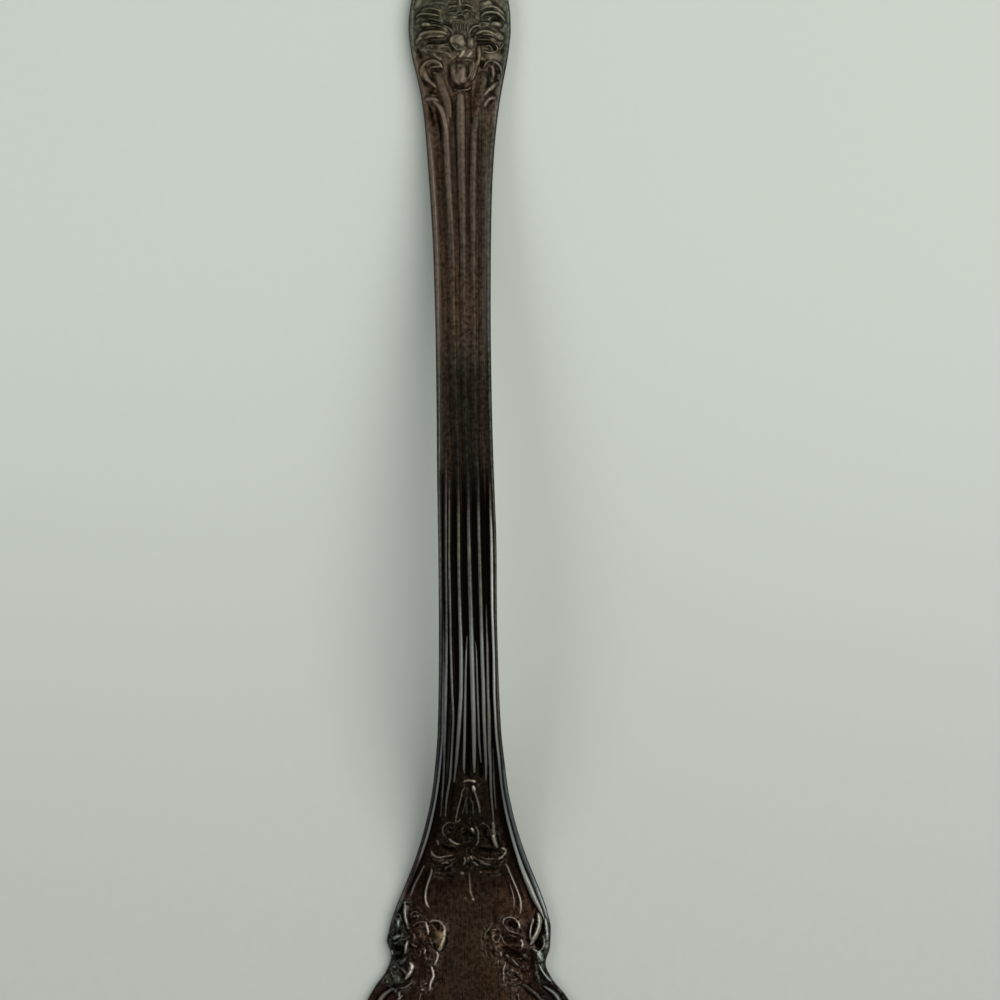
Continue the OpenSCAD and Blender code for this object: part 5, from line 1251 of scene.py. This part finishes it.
tineLook = {"sides": 8, "rows": 110, "across": 31, "under": 14, "tip": 73.0, "blunt": 0.7, "root": 49.5}
for part, sections in tineSections.items():
    leftLine = smoothLine(sections[:, 0], sections[:, 1])
    rightLine = smoothLine(sections[:, 0], sections[:, 2])
    near = sections[:tineLook["sides"], 0]
    places = np.unique(np.concatenate([near, np.linspace(near[-1], tineLook["tip"], tineLook["rows"])]))
    mesh = plateMesh(part + "Mesh", places, tineLook["across"], tineLook["under"],
                     lambda y: (leftLine(y), rightLine(y)), tip=tineLook["tip"], relieved=False,
                     blunt=tineLook["blunt"], root=tineLook["root"])
    keepPiece(mesh, "tine" + part.split("_")[1].capitalize(), "head_metal", part)
print("tines made")


# swept and repeated work, by geometry nodes

def newTree(name, inputs):
    # an input is of its value's kind, or of the kind that is named
    tree = bpy.data.node_groups.new(name, "GeometryNodeTree")
    tree.interface.new_socket("Geometry", in_out="INPUT", socket_type="NodeSocketGeometry")
    for label, value in inputs.items():
        kind = value if isinstance(value, str) else {int: "Int", float: "Float"}[type(value)]
        socket = tree.interface.new_socket(label, in_out="INPUT", socket_type="NodeSocket" + kind)
        if kind != value:
            socket.default_value = value
    tree.interface.new_socket("Geometry", in_out="OUTPUT", socket_type="NodeSocketGeometry")
    return tree, tree.nodes.new("NodeGroupInput").outputs, tree.nodes.new("NodeGroupOutput")


def vectorOf(tree, x=0.0, y=0.0, z=0.0):
    return addNode(tree, "ShaderNodeCombineXYZ", {0: x, 1: y, 2: z}).outputs[0]


def finishTree(tree, given, made, geometry):
    smooth = addNode(tree, "GeometryNodeSetShadeSmooth", {"Geometry": geometry}).outputs[0]
    real = addNode(tree, "GeometryNodeRealizeInstances", {"Geometry": smooth}).outputs[0]
    dressed = addNode(tree, "GeometryNodeSetMaterial", {"Geometry": real, "Material": given["Material"]})
    tree.links.new(dressed.outputs[0], made.inputs[0])


def ovalProfile(tree, given):
    ring = addNode(tree, "GeometryNodeCurvePrimitiveCircle", {"Resolution": given["Sides"], "Radius": 1.0})
    return addNode(tree, "GeometryNodeTransform", {
        "Geometry": ring.outputs[0], "Scale": vectorOf(tree, 1.0, given["Flatness"], 1.0)}).outputs[0]


reedSettings = {"Sides": 18, "Flatness": 0.85}


def makeReedTree():
    # sweeps an oval of the curve's own radius along it, level with the ground
    tree, given, made = newTree("reedAlongCurve", {**reedSettings, "Material": "Material"})
    level = addNode(tree, "GeometryNodeSetCurveNormal", {"Curve": given[0]}, mode="Z_UP").outputs[0]
    radius = addNode(tree, "GeometryNodeInputRadius").outputs[0]
    swept = addNode(tree, "GeometryNodeCurveToMesh", {
        "Curve": level, "Profile Curve": ovalProfile(tree, given), "Scale": radius, "Fill Caps": True})
    finishTree(tree, given, made, swept.outputs[0])
    return tree


dropFrom = 0.02  # well above the fork, in metres


def dropOnGround(tree, geometry, ground):
    # lets the work down onto the plate below, keeping its own height above it
    place = addNode(tree, "GeometryNodeInputPosition").outputs[0]
    parts = addNode(tree, "ShaderNodeSeparateXYZ", {0: place})
    above = vectorOf(tree, parts.outputs[0], parts.outputs[1], dropFrom)
    info = addNode(tree, "GeometryNodeObjectInfo", {"Object": ground}).outputs["Geometry"]
    ray = addNode(tree, "GeometryNodeRaycast", {"Target Geometry": info, "Source Position": above,
                                                "Ray Direction": (0.0, 0.0, -1.0), "Ray Length": 0.05})
    hit = addNode(tree, "ShaderNodeSeparateXYZ", {0: ray.outputs["Hit Position"]}).outputs[2]
    lift = vectorOf(tree, z=addMath(tree, "MULTIPLY", hit, ray.outputs["Is Hit"]))
    return addNode(tree, "GeometryNodeSetPosition", {"Geometry": geometry, "Offset": lift}).outputs[0]


shellSettings = {"Ribs": 9, "Spread": 2.25, "Inner": 0.0014, "Outer": 0.0056, "Rib Radius": 0.00052,
                 "Sides": 16, "Flatness": 0.6, "Centre Along": -0.0661}


def makeShellTree():
    # a fan of ribs that widen outwards, let down onto the plate
    tree, given, made = newTree("shellFan", {**shellSettings, "Ground": "Object", "Material": "Material"})
    start, end = (vectorOf(tree, y=addMath(tree, "MULTIPLY", given[label], -1.0))
                  for label in ("Inner", "Outer"))
    bar = addNode(tree, "GeometryNodeCurvePrimitiveLine", {"Start": start, "End": end}).outputs[0]
    bar = addNode(tree, "GeometryNodeResampleCurve", {"Curve": bar, "Count": 24}).outputs[0]
    factor = addNode(tree, "GeometryNodeSplineParameter").outputs[0]
    # each rib swells from three tenths outwards and closes round at its end
    fuller = addMath(tree, "SUBTRACT", addMath(tree, "MULTIPLY_ADD", factor, 0.85, 0.3),
                     addMath(tree, "MULTIPLY", addMath(tree, "POWER", factor, 14.0), 0.95))
    swept = addNode(tree, "GeometryNodeCurveToMesh", {
        "Curve": addNode(tree, "GeometryNodeSetCurveNormal", {"Curve": bar}, mode="Z_UP").outputs[0],
        "Profile Curve": ovalProfile(tree, given), "Fill Caps": True,
        "Scale": addMath(tree, "MULTIPLY", fuller, given["Rib Radius"])}).outputs[0]
    fan = addNode(tree, "GeometryNodeMeshLine", {"Count": given["Ribs"], "Offset": (0.0, 0.0, 0.0)})
    index = addNode(tree, "GeometryNodeInputIndex").outputs[0]
    last = addMath(tree, "SUBTRACT", given["Ribs"], 1.0)
    turn = addMath(tree, "MULTIPLY", addMath(tree, "SUBTRACT", addMath(tree, "DIVIDE", index, last), 0.5),
                   given["Spread"])
    placed = addNode(tree, "GeometryNodeInstanceOnPoints", {
        "Points": fan.outputs[0], "Instance": swept, "Rotation": vectorOf(tree, z=turn)})
    real = addNode(tree, "GeometryNodeRealizeInstances", {"Geometry": placed.outputs[0]}).outputs[0]
    moved = addNode(tree, "GeometryNodeTransform", {
        "Geometry": real, "Translation": vectorOf(tree, y=given["Centre Along"])})
    finishTree(tree, given, made, dropOnGround(tree, moved.outputs[0], given["Ground"]))
    return tree


gadroonSettings = {"Lobes": 14, "Length": 0.00042, "Breadth": 0.00036, "Height": 0.0002}


def makeGadroonTree():
    # a row of lobes set side by side along the curve, let down onto the plate
    tree, given, made = newTree("gadroonsAlongCurve", {**gadroonSettings, "Ground": "Object",
                                                       "Material": "Material"})
    spots = addNode(tree, "GeometryNodeResampleCurve", {"Curve": given[0], "Count": given["Lobes"]})
    size = vectorOf(tree, given["Length"], given["Breadth"], given["Height"])
    lobe = addNode(tree, "GeometryNodeMeshUVSphere", {"Segments": 12, "Rings": 8, "Radius": 1.0}).outputs[0]
    lobe = addNode(tree, "GeometryNodeTransform", {"Geometry": lobe, "Scale": size}).outputs[0]
    aim = addNode(tree, "FunctionNodeAlignRotationToVector", {
        "Vector": addNode(tree, "GeometryNodeInputTangent").outputs[0]}, axis="Y", pivot_axis="Z").outputs[0]
    placed = addNode(tree, "GeometryNodeInstanceOnPoints", {"Points": spots.outputs[0], "Instance": lobe,
                                                            "Rotation": aim})
    real = addNode(tree, "GeometryNodeRealizeInstances", {"Geometry": placed.outputs[0]}).outputs[0]
    finishTree(tree, given, made, dropOnGround(tree, real, given["Ground"]))
    return tree


def curveObject(name, runs):
    # runs of x, y, z and radius in millimetres
    curve = bpy.data.curves.new(name, "CURVE")
    curve.dimensions = "3D"
    for run in runs:
        spline = curve.splines.new("POLY")
        spline.points.add(len(run) - 1)
        spline.points.foreach_set("co", np.column_stack([run[:, :3] * mm, np.ones(len(run))]).ravel())
        spline.points.foreach_set("radius", run[:, 3] * mm)
    return addObject(name, curve)


def grow(source, tree, values):
    # runs a tree on an object and keeps the result as a plain mesh
    modifier = source.modifiers.new("grow", "NODES")
    modifier.node_group = tree
    named = {item.name: item.identifier for item in tree.interface.items_tree if item.in_out == "INPUT"}
    for label, value in values.items():
        modifier[named[label]] = value
    bpy.context.view_layer.update()
    mesh = bpy.data.meshes.new_from_object(source.evaluated_get(bpy.context.evaluated_depsgraph_get()))
    mesh.name = source.name + "Mesh"
    source.modifiers.clear()
    bpy.data.objects.remove(source)
    co = np.zeros(len(mesh.vertices) * 3)
    mesh.vertices.foreach_get("co", co)
    co = co.reshape(-1, 3)
    co[:, 2] = np.maximum(co[:, 2], 0)
    mesh.vertices.foreach_set("co", co.ravel())
    mesh.update()
    co /= mm
    straight = co[:, 0] - bentMiddle(co[:, 1])
    addAttributes(mesh, *(sampled(layer, straight, co[:, 1]) for layer in (wear, rubAndPaintedLight, tint)))
    return mesh


reedTree, shellTree, gadroonTree = makeReedTree(), makeShellTree(), makeGadroonTree()
raisedLook = {"Material": materials["raised_work"]}
onHandle = {"Ground": plates["handleEnd"]["piece"], **raisedLook}
for part, runs in rodLines.items():
    curves = []
    for line in runs:
        x, y, w, h = line[:, :4].T
        z = plainTop(x, y) + h - w * reedSettings["Flatness"]
        curves.append(np.column_stack([x + bentMiddle(y), y, z, w]))
    words = part.split("_")
    mesh = grow(curveObject(part + "Curve", curves), reedTree, {**reedSettings, **raisedLook})
    keepPiece(mesh, words[0] + words[1].capitalize(), "raised_work", part)
    print(part, "swept:", len(mesh.polygons), "faces")

seed = curveObject("shellSeed", [np.array([[0, -66.0, 2, 0.1], [0, -66.1, 2, 0.1]])])
mesh = grow(seed, shellTree, {**shellSettings, **onHandle})
keepPiece(mesh, "handleShell", "raised_work", "handle_shell")

gadroonRow = {"from": -59.5, "to": -69.4, "inset": 0.75, "points": 60}
for side, word in ((-1, "Left"), (1, "Right")):
    y = np.linspace(gadroonRow["from"], gadroonRow["to"], gadroonRow["points"])
    run = np.column_stack([side * (edgeAt(y, side) - gadroonRow["inset"]), y, 0 * y, 0 * y + 0.1])
    mesh = grow(curveObject("border" + word, [run]), gadroonTree, {**gadroonSettings, **onHandle})
    keepPiece(mesh, "handleBorder" + word, "raised_work", "handle_border_" + word.lower())
print("shell and borders made")

# floor, light and camera

floorLook = {"size": 1.6, "below": 0.00002, "colour": (0.53, 0.568, 0.525), "shade": (0.43, 0.453, 0.42),
             "weave": (0.5, 0.52, 0.5), "weaveScale": 900.0, "weaveShare": 0.12, "rough": 0.9, "sheen": 0.1}
floorMesh = bpy.data.meshes.new("floorMesh")
s = floorLook["size"]
floorMesh.from_pydata([(-s, -s, 0), (s, -s, 0), (s, s, 0), (-s, s, 0)], [], [(0, 1, 2, 3)])
floor = addObject("floor", floorMesh)
floor.location.z = -floorLook["below"]
cloth = bpy.data.materials.new("paleCloth")
cloth.use_nodes = True
tree = cloth.node_tree
where = ownPlace(tree)
weave = addNoise(tree, where, floorLook["weaveScale"], 3.0)
weave = addRange(tree, weave, 0.3, 0.7, 0.0, floorLook["weaveShare"])
along = addNode(tree, "ShaderNodeSeparateXYZ", {0: where}).outputs[1]
# the floor is painted darker towards the bottom: painted shade where the light falls off
colour = addMix(tree, addRange(tree, along, 0.02, -0.07), floorLook["colour"], floorLook["shade"])
connect(tree, tree.nodes["Principled BSDF"], {"Base Color": addMix(tree, weave, colour, floorLook["weave"]),
                                              "Roughness": floorLook["rough"],
                                              "Specular IOR Level": floorLook["sheen"]})
floorMesh.materials.append(cloth)

# the room as the camera and reflections see it, and as it lights the rest
roomLook = {"seen": (0.5, 0.53, 0.52), "lights": (0.375, 0.385, 0.375)}
world = bpy.data.worlds.new("room")
bpy.context.scene.world = world
world.use_nodes = True
tree = world.node_tree
path = addNode(tree, "ShaderNodeLightPath")
seen = addMath(tree, "MAXIMUM", path.outputs["Is Camera Ray"], path.outputs["Is Glossy Ray"])
glow = addMix(tree, seen, roomLook["lights"], roomLook["seen"])
connect(tree, tree.nodes["Background"], {"Color": glow})

lamps = {
    "windowRight": {"place": (0.26, 0.07, 0.48), "size": 0.5, "watts": 2.5, "colour": (1.0, 0.99, 0.96)},
    "ceilingLeft": {"place": (-0.42, 0.1, 0.46), "size": 0.3, "watts": 0.9, "colour": (0.94, 0.98, 1.0)},
}
for name, lamp in lamps.items():
    light = bpy.data.lights.new(name, "AREA")
    light.size, light.energy, light.color = lamp["size"], lamp["watts"], lamp["colour"]
    holder = addObject(name, light)
    x, y, z = lamp["place"]
    holder.location = (x, y, z)
    holder.rotation_euler = (math.atan2(math.hypot(x, y), z), 0, math.atan2(y, x) + math.pi / 2)

camera = bpy.data.cameras.new("overhead")
camera.sensor_width, camera.lens, camera.clip_start = 36, cameraPlace["lens"], 0.05
eye = addObject("overhead", camera)
eye.location = (cameraPlace["aimAcross"] * mm, cameraPlace["aimAlong"] * mm, cameraPlace["height"] * mm)
eye.rotation_euler = (0, 0, -math.radians(cameraPlace["lean"]))
bpy.context.scene.camera = eye
bpy.context.scene.view_settings.view_transform = "Standard"

print("scene ready")
